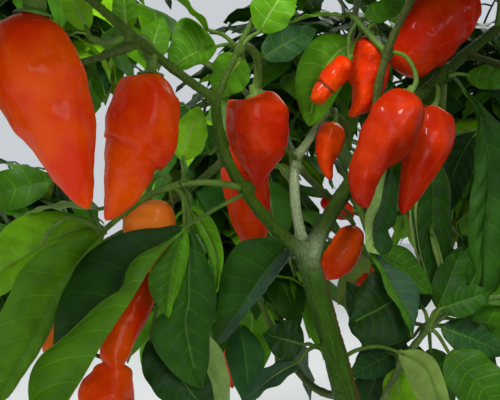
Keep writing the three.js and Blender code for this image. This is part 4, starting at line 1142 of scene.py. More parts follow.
# Each fruit: its stalk's points, its spine from the shoulder to the tip as [right, up, girth] in the
# front view, the depth of its two ends, the looks in which it isn't like most, and the size of its cap.
FRUITS = {
    "near": {"stalk": [(-144, 158, -125), (-152, 153, -138), (-156, 142, -148), (-156, 133, -150)],
         "spine": [(-156, 133, 20), (-157, 125, 37), (-158, 111, 49), (-155, 97, 53), (-149, 83, 49),
             (-142, 69, 42), (-135, 46, 27), (-130, 32, 15), (-125.4, 22, 5)],
         "back": (-150, -150), "lobes": 0.04, "stalk_radius": 3.4, "cap": 9},
    "creased": {"stalk": [(-97, 114, -68), (-99, 118, -61), (-93, 117, -58), (-89, 108, -60),
             (-90, 99, -62)],
         "spine": [(-90.7, 98, 16), (-91, 93, 27), (-92.5, 87, 35), (-93.5, 77, 39.5), (-95.5, 66, 41),
             (-98, 56, 37.5), (-101, 50, 31), (-103.6, 41, 27), (-108, 29.5, 19.5), (-112.5, 21, 10),
             (-116, 15.5, 4)],
         "back": (-62, -72), "lobes": 0.04, "wrinkle": 0.035, "creases": (0.52,), "stalk_radius": 2.0,
         "cap": 8},
    "middle": {"stalk": [(-41, 111, -19), (-36, 113, -8), (-31, 106, 6), (-30.5, 96, 14), (-31.9, 88, 18)],
         "spine": [(-31.5, 87, 18), (-30.6, 84, 29), (-30.8, 79, 34), (-31, 71, 35), (-30.4, 62, 34),
             (-30.2, 54, 29.5), (-30.5, 46.5, 20), (-31, 40, 10), (-32, 33.5, 4)],
         "back": (18, 22), "tone": 1, "wrinkle": 0.022, "stalk_radius": 2.6, "cap": 8},
    "behind": {"stalk": [(-9, 46, 24), (-20, 62, 40), (-33, 67, 54), (-37, 61, 58)],
         "spine": [(-37, 60, 16), (-37, 54, 24.6), (-37, 44, 27), (-36.7, 35, 26.3), (-35.3, 24, 23.8),
             (-34.4, 13, 20.7), (-33, 4.5, 14.6), (-31.9, -1, 8.4), (-30.2, -5, 3)],
         "back": (58, 54), "tone": 1, "stalk_radius": 1.8, "cap": 6},
    "slanting": {"stalk": [(103, 122, 60), (105, 140, 50), (99, 151, 40), (90, 146, 34)],
         "spine": [(90, 144, 18), (84, 138.5, 28), (77, 132, 34), (69, 124, 36), (61, 116, 35),
             (54, 108, 30), (48.5, 103, 20), (46, 100.5, 8)],
         "back": (34, 32), "tone": 1, "wrinkle": 0.03, "stalk_radius": 2.2, "cap": 7},
    "curved": {"stalk": [(45, 110, 3), (52, 107.5, -4), (57, 100, -8), (58, 93, -10), (55, 87, -10)],
         "spine": [(54, 87, 14), (52, 83, 23), (49, 76, 28), (43.5, 66, 30), (37.5, 57, 27), (32, 48, 21),
             (28.3, 37, 15.5), (28.4, 29, 11.5), (30.5, 22, 4)],
         "back": (-10, -22), "tone": 4, "lobes": 0.06, "wrinkle": 0.03, "stalk_radius": 1.6, "cap": 6},
    "second": {"stalk": [(67, 91, 38), (70, 90, 32), (70, 84, 27), (68.3, 79, 26)],
         "spine": [(68, 78, 12), (67.4, 74, 21), (66.8, 65, 25), (64, 56, 24.5), (60, 45, 20.5),
             (55.4, 34, 14.5), (52, 25.5, 9), (50.4, 19, 3)],
         "back": (26, 10), "tone": 1, "wrinkle": 0.015, "stalk_radius": 1.8, "cap": 6},
    "puckered": {"stalk": [(30, 122, 10), (34, 125, 16), (36, 122, 22), (35.5, 119, 23)],
         "spine": [(33.5, 119, 12), (32, 113, 21), (31, 105, 25), (31.4, 97, 23.4), (31, 90, 19),
             (28.6, 83, 14.6), (24.6, 77.5, 9), (20.2, 74, 2.5)],
         "back": (23, 24), "lobes": 0.09, "wrinkle": 0.05, "stalk_radius": 1.3, "cap": 4},
    "ringed": {"stalk": [(25, 127, 10), (21, 120, 8), (20, 112, 8), (20.6, 107, 8)],
         "spine": [(20.6, 106, 8), (18.4, 103.6, 12), (14.8, 99.6, 14), (11, 95, 13.6), (7.8, 90.4, 11.4),
             (4.4, 86.6, 10.4), (1.4, 84.6, 8), (-1, 84, 4)],
         "back": (8, 6), "wrinkle": 0.035, "scars": (0.66,), "stalk_radius": 1.2, "cap": 4},
    "small_hook": {"stalk": [(7, 77, 46), (12, 78, 41), (13.4, 75, 35), (12.8, 71.4, 33)],
         "spine": [(12.6, 70.6, 10), (11, 66, 14.6), (9.6, 60, 15.6), (8.2, 54, 13), (7.6, 48.4, 9),
             (8.6, 42.8, 5.4), (10.6, 38.4, 2)],
         "back": (33, 30), "lobes": 0.06, "stalk_radius": 1.2, "cap": 4},
    "bean": {"stalk": [(13, 21, 8), (15, 23, 18), (20, 20, 28), (22.8, 13.8, 31)],
         "spine": [(22.8, 13, 9), (22, 8.8, 14), (20, 2.6, 17.4), (17, -3.4, 18.4), (12.2, -8.8, 17),
             (8.4, -11.4, 14), (4.8, -12.2, 9)],
         "back": (31, 27), "lobes": 0.02, "stalk_radius": 1.2, "cap": 2.4},
    "peep_low": {"stalk": [(13, 21, 8), (22, 14, 44), (30, -2, 50), (31, -9, 50)],
         "spine": [(31, -9, 5), (30.4, -12, 8), (28.6, -16, 8.6), (26.4, -20, 7), (25, -23, 3)],
         "back": (50, 48), "wrinkle": 0.03, "stalk_radius": 1.1, "cap": 3},
    "peep_high": {"stalk": [(13, 21, 8), (18, 28, 24), (24, 28, 44), (24, 23, 50)],
         "spine": [(23.6, 21, 6), (20, 20.6, 9.6), (14, 22.4, 10.4), (9, 25, 8.4), (5, 27.4, 4)],
         "back": (50, 54), "tone": 1, "wrinkle": 0.03, "stalk_radius": 1.1, "cap": 3},
    "low_pale": {"stalk": [(-83, 33, -22), (-80, 39, -16), (-86, 41, -10), (-91, 36, -6), (-92, 28, -4)],
         "spine": [(-92, 27, 16), (-91.4, 23, 25), (-91.2, 16, 29), (-91, 8, 28), (-90.7, -1, 21),
             (-90.3, -9, 11), (-90.2, -14, 4)],
         "back": (-4, -6), "tone": 2, "lobes": 0.07, "wrinkle": 0.015, "stalk_radius": 1.7, "cap": 6},
    "low_long": {"stalk": [(-80, 34, -22), (-79, 26, -6), (-79, 16, 10), (-81, 6, 20)],
         "spine": [(-81, 5, 9), (-82.5, 0, 14.5), (-87, -9, 17), (-94, -22, 18), (-101.5, -37, 18.6),
             (-107, -47, 19), (-110.4, -57, 17.6), (-110.6, -63.6, 12), (-109.4, -67.6, 4)],
         "back": (22, -22), "lobes": 0.03, "stalk_radius": 1.4, "cap": 4},
    "low_bell": {"stalk": [(-126, -52, -20), (-124, -58, -12), (-118, -61, -8), (-111.6, -62, -10)],
         "spine": [(-111.6, -63, 13), (-111.8, -66, 20), (-112.2, -70, 23.4), (-113.6, -76, 27.4),
             (-115.6, -83, 32.4), (-116.2, -92, 31.6), (-116.6, -103, 23), (-117, -109, 9)],
         "back": (-10, -16), "lobes": 0.06, "wrinkle": 0.03, "stalk_radius": 1.4, "cap": 3.4},
    "low_thin": {"stalk": [(-126, -52, -20), (-134, -36, -16), (-140, -26, -12), (-143, -22, -10)],
         "spine": [(-143, -22.5, 5), (-144, -27, 9), (-146, -40, 10), (-148, -52, 7), (-150, -59, 2.5)],
         "back": (-10, -14), "tone": 2, "lobes": 0.03, "stalk_radius": 1.2, "cap": 3},
}


# The masses of foliage: [bough's name, middle, seed]
MASSES = {
    "foliage_right": ("bough_right", (210, 100, 500), 31),
    "foliage_left_high": ("bough_left_high", (-185, -190, 510), 12),
    "foliage_left_top": ("bough_left_top", (-125, -10, 600), 13),
    "foliage_top": ("bough_top", (15, 90, 655), 14),
    "foliage_right_top": ("bough_right_top", (70, -90, 560), 15),
    "foliage_left_front": ("bough_left_front", (-290, -110, 390), 16),
    "foliage_left_low": ("bough_left_low", (-270, 160, 320), 37),
    "foliage_back_left": ("bough_back_left", (-255, 170, 490), 18),
    "foliage_back": ("bough_back", (-60, 275, 460), 25),
    "foliage_back_right": ("bough_back_right", (120, 210, 380), 19),
    "foliage_back_high": ("bough_back_high", (-90, 230, 610), 20),
    "foliage_right_front": ("bough_right_front", (165, -120, 380), 44),
    "foliage_right_low": ("shoot_right", (190, 50, 290), 21),
    "foliage_back_low": ("shoot_back", (-100, 210, 280), 42),
    "foliage_front_low": ("shoot_front", (-40, -160, 190), 23),
}
MASS_MIDDLES = {name: np.array(middle, float) for name, (_, middle, _) in MASSES.items()}


def mass_start(name):
    """Where a mass's stem meets its bough, the way it sets off, and the bough's number."""
    bough_name = MASSES[name][0]
    number = next(k for k, bough in enumerate(BOUGHS) if bough[0] == bough_name)
    _, start, end, bow, _ = BOUGHS[number]
    line = bough_line(start, end, bow, np.linspace(0, 1, 25))
    onward = unit(line[-1] - line[-2])
    begin = line[-1] + onward * GAP
    direction = unit(onward + unit(MASS_MIDDLES[name] - begin))
    return begin, direction, number


def in_crown(points):
    share = np.abs((points - CROWN_MIDDLE) / CROWN_HALF) ** CROWN_POWER
    return bool((share.sum(axis=1) < 1).all())


def in_own_space(points, name):
    middle = MASS_MIDDLES[name]
    others = np.array([other_middle for other, other_middle in MASS_MIDDLES.items() if other != name])
    own = ((points - middle) ** 2).sum(axis=1)
    away = ((points[:, None] - others[None]) ** 2).sum(axis=2)
    apart = np.linalg.norm(others - middle, axis=1)
    return bool(((away - own[:, None]) / (2 * apart) > SPACE_MARGIN).all())


def clear_of_open_side(points):
    right, up, back = seen(points)
    return bool(
        (back > OPEN_SIDE["depth"]).all()
        or (right < OPEN_SIDE["left"]).all()
        or (right > OPEN_SIDE["right"]).all()
        or (up < OPEN_SIDE["low"]).all()
        or (up > OPEN_SIDE["high"]).all()
    )


def in_reach(points):
    """Whether the finer growth stays within the solids' box, but for a margin."""
    low, high = np.array(cad_box) / MM
    return bool((points > low - REACH_MARGIN).all() and (points < high + REACH_MARGIN).all())


def fits(points, name, clearance, owner=None):
    return (
        in_crown(points)
        and in_own_space(points, name)
        and clear_of_open_side(points)
        and clear_of_limbs(points, clearance, owner)
    )


def fruit_points(fruit, rings=5, sides=8):
    """Points all over a fruit of a mass."""
    points = [fruit["tip"]]
    for k in range(rings):
        centre = fruit["top"] + (fruit["tip"] - fruit["top"]) * (k / rings)
        radius = fruit["width"] / 2 * max(0.3, fruit_share(k / rings))
        for i in range(sides):
            turn = math.pi * i / (sides / 2)
            points.append(centre + np.array([radius * math.cos(turn), radius * math.sin(turn), 0]))
    return np.array(points)


def level_way(heading):
    return np.array([math.cos(heading), math.sin(heading), 0.0])


def leaf_at(node, heading, pitch, length, random, petiole):
    """A leaf that hangs from a twig: its stalk sets off at the pitch and its blade points lower."""
    way = level_way(heading)
    out = way * math.cos(pitch) + UP * math.sin(pitch)
    down = pitch - 0.5 - 0.5 * random()
    along = way * math.cos(down) + UP * math.sin(down)
    face = way * -math.sin(down) + UP * math.cos(down)
    base = node + out * petiole * (0.8 + 0.5 * random())
    tip = base + along * length
    roll = (random() - 0.5) * 0.7
    face = face * math.cos(roll) + np.cross(along, face) * math.sin(roll)
    width = length * LEAF_WIDTH_SHARE * (0.88 + 0.24 * random())
    leaf = {"from": node, "base": base, "tip": tip, "width": width, "face": face}
    leaf.update({"fold": LEAF_FOLD, "bow": length * 0.1})
    return leaf


class Mass:
    """One mass of foliage: the twigs, leaves and fruit of the solids, grown by the same seeded rule, and
    then finer twigs with smaller leaves within the same space."""

    def __init__(self, name):
        self.name = name
        self.start, self.direction, self.owner = mass_start(name)
        self.random = numbers_from(MASSES[name][2])
        self.twigs = []
        self.leaves = []
        self.fruits = []
        self.nodes = []
        self.taken = np.empty((MOST_TAKEN, 3))
        self.count = 0

    def is_free(self, points, spacing):
        taken = self.taken[: self.count]
        low, high = points.min(axis=0) - spacing, points.max(axis=0) + spacing
        taken = taken[((taken > low) & (taken < high)).all(axis=1)]
        if not len(taken):
            return True
        return bool((((taken[:, None] - points[None]) ** 2).sum(axis=2) > spacing**2).all())

    def has_room(self, points, spacing, clearance):
        return self.is_free(points, spacing) and fits(points, self.name, clearance)

    def take(self, points):
        self.taken[self.count : self.count + len(points)] = points
        self.count += len(points)

    def keep(self, kind, grown, points):
        kind.append(grown)
        self.take(points)

    def grow(self):
        random = self.random
        self.add_twig(self.start, self.direction, 0, random() * math.pi)
        heading = random() * 2 * math.pi
        for point, bears in self.nodes:
            heading += NODE_TURN + 0.6 * (random() - 0.5)
            if bears and random() < FRUIT_CHANCE:
                self.add_fruit(point, heading + 2)
            self.add_leaf(point, heading)

    def add_twig(self, start, direction, level, plane):
        random = self.random
        length = STEPS[level] * (0.85 + 0.3 * random())
        clearance = TWIG_CLEARANCE + TWIG_RADII[level]
        way, end = direction, None
        for _ in range(TRIES):
            tried = start + way * length
            points = start + np.array(TWIG_SAMPLES) * (tried - start)
            if fits(points, self.name, clearance, self.owner if level == 0 else None):
                end = tried
                break
            way = unit(way + np.array([random() - 0.5, random() - 0.5, random() - 0.5]))
        if end is None:
            return
        self.twigs.append({"line": [start, end], "level": level})
        self.take(start + np.arange(0.1, 1, 0.12)[:, None] * (end - start))
        last = level == len(STEPS) - 1
        for k, share in enumerate(LEAF_NODES if last else FORK_NODES):
            self.nodes.append((start + (end - start) * share, k == 1 and level > 0))
        if last:
            return
        side = level_way(plane)
        side = unit(side - way * side.dot(way))
        next_plane = plane + math.pi / 2 + (random() - 0.5) * 0.8
        for sign in (-1, 1):
            angle = sign * FORK_ANGLE * (0.8 + 0.5 * random())
            onward = way * math.cos(angle) + side * math.sin(angle) + UP * LIFT
            self.add_twig(end, unit(onward), level + 1, next_plane)

    def add_leaf(self, node, heading):
        random = self.random
        for k in range(TRIES):
            pitch = 0.35 - 0.75 * random()
            length = LEAF_LENGTH + LEAF_SPREAD * (random() - 0.4) - 4 * k
            leaf = leaf_at(node, heading + 0.7 * k, pitch, length, random, PETIOLE)
            points = leaf_points(leaf)
            if self.has_room(points, SPACING, LIMB_CLEARANCE):
                self.keep(self.leaves, leaf, points)
                return

    def add_fruit(self, node, heading):
        random = self.random
        length = FRUIT_LENGTH * (0.85 + 0.4 * random())
        lean = 0.25 * random()
        out = level_way(heading)
        top = node + out * FRUIT_REACH - UP * FRUIT_REACH
        tip = top + out * length * lean - UP * length
        fruit = {"from": node, "top": top, "tip": tip, "width": length * FRUIT_WIDTH_SHARE, "bow": out * 2}
        points = fruit_points(fruit)
        if self.has_room(points, SPACING, LIMB_CLEARANCE):
            self.keep(self.fruits, fruit, points)

    def refine(self):
        """Side twigs all along the twigs of the solids, and then smaller ones on those."""
        random = numbers_from(MASSES[self.name][2] + SEED_OF_FINE)
        fine = len(STEPS)
        for twig in list(self.twigs):
            self.sprout(twig["line"], FINE_SHARES, FINE_STEP, fine, random)
        for twig in [twig for twig in self.twigs if twig["level"] == fine]:
            self.sprout([twig["line"][0], twig["line"][-1]], TIP_SHARES, TIP_STEP, fine + 1, random)

    def sprout(self, line, shares, step, level, random):
        start, end = line
        along = unit(end - start)
        side = unit(np.cross(along, UP + 0.01))
        other = np.cross(along, side)
        heading = random() * 2 * math.pi
        for share in shares:
            heading += NODE_TURN + 0.5 * (random() - 0.5)
            begin = start + (end - start) * share
            for k in range(FINE_TRIES):
                turn = heading + 1.1 * k
                way = side * math.cos(turn) + other * math.sin(turn) + along * 0.5 + UP * 0.25
                tried = begin + unit(way) * step * (0.7 + 0.6 * random())
                points = begin + np.array(FINE_TWIG_SAMPLES) * (tried - begin)
                if in_reach(points) and self.has_room(points, FINE_TWIG_SPACING, FINE_LIMB_CLEARANCE):
                    middle = (begin + tried) / 2 + UP * (1.5 + 2 * random())
                    self.keep(self.twigs, {"line": [begin, middle, tried], "level": level}, points)
                    self.dress_twig(begin, tried, heading, level, random)
                    break
            self.fine_leaf(begin, heading + 2, random, 1.0)

    def dress_twig(self, begin, end, heading, level, random):
        if random() < FINE_FRUIT_CHANCE:
            self.fine_fruit(begin + (end - begin) * 0.7, heading + 1, random)
        for k, share in enumerate(FINE_LEAF_NODES[: 7 - level]):
            turn = heading + 2.2 * k + 0.5 * random()
            self.fine_leaf(begin + (end - begin) * share, turn, random, SMALL_LEAF if k == 1 else 1.0)

    def fine_leaf(self, node, heading, random, size):
        for k in range(FINE_TRIES):
            pitch = 0.5 - 1.0 * random()
            length = (FINE_LEAF_LENGTH + FINE_LEAF_SPREAD * (random() - 0.5)) * size * (1 - 0.055 * k)
            leaf = leaf_at(node, heading + 0.8 * k, pitch, length, random, FINE_PETIOLE)
            points = leaf_points(leaf, FINE_LEAF_SAMPLES, FINE_SIDE_SAMPLES)
            if in_reach(points) and self.has_room(points, FINE_SPACING, FINE_LIMB_CLEARANCE):
                self.keep(self.leaves, leaf, points)
                return

    def fine_fruit(self, node, heading, random):
        length = FRUIT_LENGTH * (0.6 + 0.5 * random())
        out = level_way(heading)
        top = node + out * 9 - UP * 10
        tip = top + out * length * 0.2 * random() - UP * length
        width = length * (0.34 + 0.24 * random())
        fruit = {"from": node, "top": top, "tip": tip, "width": width, "bow": out * 3}
        points = fruit_points(fruit)
        if self.has_room(points, FINE_SPACING, FINE_LIMB_CLEARANCE):
            self.keep(self.fruits, fruit, points)


# Materials


class Paint:
    """A material under construction, with the nodes that most materials here share."""

    def __init__(self, name):
        self.material = bpy.data.materials.new(name)
        self.material.use_nodes = True
        tree = self.material.node_tree
        self.nodes, self.links = tree.nodes, tree.links
        self.shader = tree.nodes["Principled BSDF"]

    def node(self, kind, inputs=(), **settings):
        """A new node with its settings. Each input takes a plain value or another node's output."""
        made = self.nodes.new("ShaderNode" + kind)
        for key, value in settings.items():
            setattr(made, key, value)
        self.connect(made, inputs)
        return made.outputs

    def connect(self, node, inputs):
        for key, value in dict(inputs).items():
            if isinstance(value, bpy.types.NodeSocket):
                self.links.new(value, node.inputs[key])
            else:
                node.inputs[key].default_value = value

    def noise(self, coordinates, scale, detail, rough=0.5):
        values = {"Scale": scale, "Detail": detail, "Roughness": rough, "Vector": coordinates}
        return self.node("TexNoise", values)["Fac"]

    def mix(self, share, first, second, blend="MIX"):
        values = {"Factor": share, "A": first, "B": second}
        return self.node("Mix", values, data_type="RGBA", blend_type=blend)["Result"]

    def ramp(self, value, low, high):
        values = {"From Min": low, "From Max": high, "Value": value}
        return self.node("MapRange", values, interpolation_type="SMOOTHSTEP")["Result"]

    def bump(self, height, strength, distance):
        values = {"Strength": strength, "Distance": distance, "Height": height}
        self.connect(self.shader, {"Normal": self.node("Bump", values)["Normal"]})


def scaled(colour, share):
    return tuple(min(1.0, value * share) for value in colour[:3]) + (1.0,)


def mottled(name, first, second, patches, surface, relief):
    """A material of two colours in soft patches [scale, detail, from, to], with a fine relief [scale,
    detail, roughness, strength, distance]."""
    paint = Paint(name)
    coordinates = paint.node("TexCoord")["Object"]
    scale, detail, low, high = patches
    share = paint.ramp(paint.noise(coordinates, scale, detail), low, high)
    paint.connect(paint.shader, {"Base Color": paint.mix(share, first, second), **surface})
    paint.bump(paint.noise(coordinates, *relief[:3]), *relief[3:])
    return paint.material


def leaf_material(tone):
    colour, rough, _, _ = LEAF_TONES[tone]
    surface = {"Roughness": rough, "Specular IOR Level": 0.13}
    dark, light = scaled(colour, 0.8), scaled(colour, 1.2)
    return mottled("leaf_" + tone, dark, light, (70, 4, 0.3, 0.7), surface, (420, 3, 0.6, 0.5, 0.0007))


def fruit_material(name, red, orange):
    surface = {"Roughness": 0.42, "Specular IOR Level": 0.04, "Coat Weight": 0.18, "Coat Roughness": 0.1}
    return mottled("fruit_" + name, red, orange, (38, 3, 0.35, 0.68), surface, (170, 5, 0.62, 0.55, 0.0011))


def twig_material(name, colour):
    surface = {"Roughness": 0.5, "Specular IOR Level": 0.25}
    dark, light = scaled(colour, 0.72), scaled(colour, 1.15)
    return mottled(name, dark, light, (160, 4, 0.3, 0.7), surface, (900, 2, 0.5, 0.3, 0.0003))


def bark_material():
    """Green bark: each limb's own tint, with darker and paler streaks, and brown cracks where it is worn."""
    paint = Paint("bark")
    tint, grain, worn = (paint.node("Attribute", attribute_name=name) for name in ("tint", "grain", "worn"))
    streaks = paint.ramp(paint.noise(grain["Vector"], 0.9, 4, 0.6), 0.34, 0.68)
    darker = paint.mix(1.0, tint["Color"], (0.5, 0.54, 0.42, 1), "MULTIPLY")
    green = paint.mix(streaks, darker, tint["Color"])
    cracks = paint.noise(grain["Vector"], 1.6, 5, 0.65)
    crack = paint.node("Math", {0: cracks, 1: worn["Fac"]}, operation="ADD")["Value"]
    brown = paint.mix(paint.ramp(crack, 0.82, 0.96), green, linear(104, 78, 44))
    paint.connect(paint.shader, {"Base Color": brown, "Roughness": 0.55, "Specular IOR Level": 0.12})
    paint.bump(cracks, 0.8, 0.001)
    return paint.material


LEAF_MATERIALS = [leaf_material(tone) for tone in TONE_NAMES]
FRUIT_MATERIALS = [
    fruit_material("red", linear(210, 42, 1), linear(226, 76, 1)),
    # A darker copy of the red. On the fruits shown that take it, it is painted shade; among the masses it is
    # a random darker fruit.
    fruit_material("dark_red_and_painted_shade", linear(184, 30, 1), linear(204, 54, 1)),
    fruit_material("orange", linear(232, 104, 22), linear(240, 130, 40)),
    fruit_material("scar", linear(96, 34, 14), linear(140, 60, 24)),
    # A still darker copy of the red: painted shade on the curved fruit, which the key light falls on more
    # strongly than it should.
    fruit_material("darkest_red_painted_shade", linear(158, 28, 1), linear(180, 46, 1)),
]
TWIG_MATERIALS = [twig_material("twig_green", linear(86, 118, 38))]
BARK = bark_material()

# Each limb's tint. The boughs that no row names take the last.
LIMB_TINTS = {
    "stem": linear(66, 106, 20),
    "bough_right": linear(60, 86, 22),
    "bough_left": linear(70, 100, 18),
    "bough_left_high": linear(88, 116, 42),
    "bough_left_top": linear(92, 120, 46),
    "bough_middle": linear(168, 186, 146),
    "bough_top": linear(156, 174, 128),
    "bough_right_top": linear(84, 96, 46),
    "shoot_right": linear(120, 146, 84),
    "other": linear(88, 110, 52),
}

# A worn knot on the front of the main stem under its fork, and the pale bark above it
KNOT = place((1, -12, -7))
PALE_PATCH = place((2, -1, -6))

# Two stubs of lost twigs and the knob on the knot: their lines and how thick they are
STUBS = [
    ([(10, -55, 0), (5, -56, -3), (1, -54, -5)], 2.2),
    ([(-9, 50, -15), (-13, 53, -17), (-16, 56, -19)], 1.7),
    ([(1, -11, 0), (1, -11, -5.5), (1, -10.5, -7.2)], 2.6),
]


# The bark


def add_stem(wood):
    """The main stem from below the ground to a rounded crest in the fork."""
    shares = np.linspace(0, 1, 60)
    line = np.array([stem_point(share) for share in shares])
    radii = np.array([stem_radius(share) for share in shares])
    below = line[:1] - [0, 0, 6]
    add_tube(wood, np.vstack([below, line]), np.append(radii[0], radii), STEM_SIDES, STEM_RIDGES)
    crest = stem_point(1) + np.array(CREST)
    add_tube(wood, smooth_line(crest, len(CREST_RADII)), CREST_RADII, 30)


def add_boughs(wood):
    """The boughs, each with a collar where it sets off and swollen nodes."""
    for name, start, end, bow, (thick, thin) in BOUGHS:
        shares = np.linspace(0, 1, 46)
        line = bough_line(start, end, bow, shares)
        walked = walk(line)
        radii = (thick + (thin - thick) * shares) * (SLIM_SHARE if name == "shoot_right" else BOUGH_SHARE)
        radii = radii + COLLAR_SWELLING * thick * dent(walked, COLLAR_REACH)
        spacing = NODE_SPACING + 6 * (thick % 1)
        past_collar = walked > 2 * COLLAR_REACH
        radii = radii + NODE_SWELLING * dent(walked % spacing - spacing / 2, NODE_REACH) * past_collar
        onward = line[-1:] + unit(line[-1] - line[-2])
        add_tube(wood, np.vstack([line, onward]), np.append(radii, thin * 0.9), BOUGH_SIDES, BOUGH_RIDGES)


def add_stubs_and_nodes(wood):
    for places, thick in STUBS:
        path = smooth_line([place(point) for point in places], 10)
        add_tube(wood, path, np.linspace(thick, 0.7 * thick, 10), 12)
    heights = np.array(BALL_HEIGHTS)
    for spray in spray_table().values():
        if "node" in spray:
            middle, radius = spray["node"]
            column = place(middle) + heights[:, None] * UP * radius
            add_tube(wood, column, radius * np.sqrt(1.02 - heights**2), 16)


def skin_of(wood, name):
    """One skin round all the tubes of the wood."""
    mesh = bpy.data.meshes.new("wood_raw")
    mesh.from_pydata((np.concatenate(wood.points) * MM).tolist(), [], np.concatenate(wood.faces).tolist())
    mesh.validate()
    raw = add_object("wood_raw", mesh)
    remesh = raw.modifiers.new("remesh", "REMESH")
    remesh.mode = "VOXEL"
    remesh.voxel_size = BARK_VOXEL * MM
    smooth = raw.modifiers.new("smooth", "SMOOTH")
    smooth.factor, smooth.iterations = SMOOTHING
    skin = bpy.data.meshes.new_from_object(raw.evaluated_get(bpy.context.evaluated_depsgraph_get()))
    skin.name = name
    bpy.data.objects.remove(raw)
    return skin


def vertex_values(mesh, key):
    values = np.empty(len(mesh.vertices) * 3, np.float32)
    mesh.vertices.foreach_get(key, values)
    return values.reshape(-1, 3)


def build_wood():
    """The main stem and boughs as one skin, with collars at the forks, ridges and swollen nodes."""
    wood = Shape()
    add_stem(wood)
    add_boughs(wood)
    add_stubs_and_nodes(wood)
    name = "stem_and_boughs"
    skin = skin_of(wood, name)
    points, normals = vertex_values(skin, "co"), vertex_values(skin, "normal")
    grain, worn = paint_wood(skin, points / MM)
    points += normals * bark_relief(grain, worn)[:, None] * MM
    points[:, 2] = np.maximum(points[:, 2], 0)
    skin.vertices.foreach_set("co", points.ravel())
    skin.materials.clear()
    skin.materials.append(BARK)
    skin.polygons.foreach_set("use_smooth", np.ones(len(skin.polygons), bool))
    finish_piece(add_object(name, skin), ["stem", *(bough[0] for bough in BOUGHS)])


def bark_relief(grain, worn):
    """How far the bark stands proud at each point: ridges along the grain, and cracks where it is worn."""
    heights = np.empty(len(grain))
    for k, (x, y, z) in enumerate(grain):
        crack = abs(noise_at(x, y, z, CRACK_SIZE, CRACK_SHIFT))
        heights[k] = RIDGE_HEIGHT * noise_at(x, y, z, RIDGE_SIZE)
        heights[k] += GRAIN_HEIGHT * noise_at(x, y, z, GRAIN_SIZE)
        heights[k] -= CRACK_DEPTH * max(0.0, 1 - crack / CRACK_WIDTH) * min(1.0, 2.4 * worn[k])
    return heights * (0.4 + 0.6 * np.minimum(1, worn / STEM_WORN[0]))


def walked_limbs():
    """How far along its limb each of the limbs' points lies."""
    walked = np.zeros(len(LIMB_POINTS))
    for k in range(1, len(LIMB_POINTS)):
        if LIMB_OWNERS[k] == LIMB_OWNERS[k - 1]:
            walked[k] = walked[k - 1] + np.linalg.norm(LIMB_POINTS[k] - LIMB_POINTS[k - 1])
    return walked


def limb_worn(owner, offset):
    """How worn a limb is: the main stem most on its right, and the boughs little."""
    if owner != STEM_OWNER:
        return BOUGH_WORN.get(BOUGHS[owner][0], BOUGH_WORN["other"])
    turn = math.atan2(offset[1], offset[0])
    return STEM_WORN[0] + STEM_WORN[1] * dent(turn - WORN_TURN, WORN_REACH)


def paint_wood(skin, points):
    """Gives every point of the bark its limb's tint, its place along the grain and how worn it is."""
    tree = kdtree.KDTree(len(LIMB_POINTS))
    for k, point in enumerate(LIMB_POINTS):
        tree.insert(point, k)
    tree.balance()
    walked = walked_limbs()
    owner_tints = [LIMB_TINTS.get(bough[0], LIMB_TINTS["other"]) for bough in BOUGHS] + [LIMB_TINTS["stem"]]
    tints = np.empty((len(points), 4), np.float32)
    grain = np.empty((len(points), 3), np.float32)
    worn = np.empty(len(points), np.float32)
    for k, point in enumerate(points):
        found = tree.find_n(point, BLENDED_POINTS)
        weights = np.array([1 / (BLEND_START + distance) ** 2 for _, _, distance in found])
        weights /= weights.sum()
        near = [index for _, index, _ in found]
        tints[k] = sum(w * np.array(owner_tints[LIMB_OWNERS[i]]) for w, i in zip(weights, near))
        offset = point - LIMB_POINTS[near[0]]
        owner = LIMB_OWNERS[near[0]]
        along = walked[near[0]] + owner * GRAIN_SHIFT
        grain[k] = (offset[0], offset[1], offset[2] * GRAIN_LIFT + along * GRAIN_RUN)
        pale = dent(np.linalg.norm(point - PALE_PATCH), PALE_REACH)
        tints[k] += (np.array(LIMB_TINTS["bough_middle"]) - tints[k]) * PALE_SHARE * pale
        knot = dent(np.linalg.norm(point - KNOT), KNOT_RADIUS)
        worn[k] = limb_worn(owner, offset) + KNOT_WORN * knot
    skin.attributes.new("tint", "FLOAT_COLOR", "POINT").data.foreach_set("color", tints.ravel())
    skin.attributes.new("grain", "FLOAT_VECTOR", "POINT").data.foreach_set("vector", grain.ravel())
    skin.attributes.new("worn", "FLOAT", "POINT").data.foreach_set("value", worn)
    return grain, worn


# The pieces of a spray, or of a leaf or fruit that shows by itself


def add_shown_fruit(parts, row, random):
    spine, (near, far) = row["spine"], row["back"]
    backs = [near + (far - near) * k / (len(spine) - 1) for k in range(len(spine))]
    line = [place((right, up, back)) for (right, up, _), back in zip(spine, backs)]
    radii = [girth / 2 * (1 + back / EYE_DISTANCE) for (_, _, girth), back in zip(spine, backs)]
    marks = {key: row[key] for key in ("creases", "scars") if key in row}
    looks = [row.get(key, usual) for key, usual in USUAL_FRUIT.items()]
    add_fruit(parts.skins, line, radii, SHOWN_FRUIT_GRID, random, *looks, **marks)
    path = [place(point) for point in row["stalk"]]
    thick = row["stalk_radius"]
    steps = 22
    radii = thick * (0.75 + 0.45 * np.linspace(0, 1, steps) ** 3)
    add_tube(parts.stems, smooth_line(path, steps), radii, SHOWN_TWIG_SIDES, TWIG_RIDGES)
    axis = unit(line[1] - line[0])
    add_calyx(parts.stems, line[0] + axis * 0.3, axis, row["cap"] * 0.8, thick * 1.1, random)


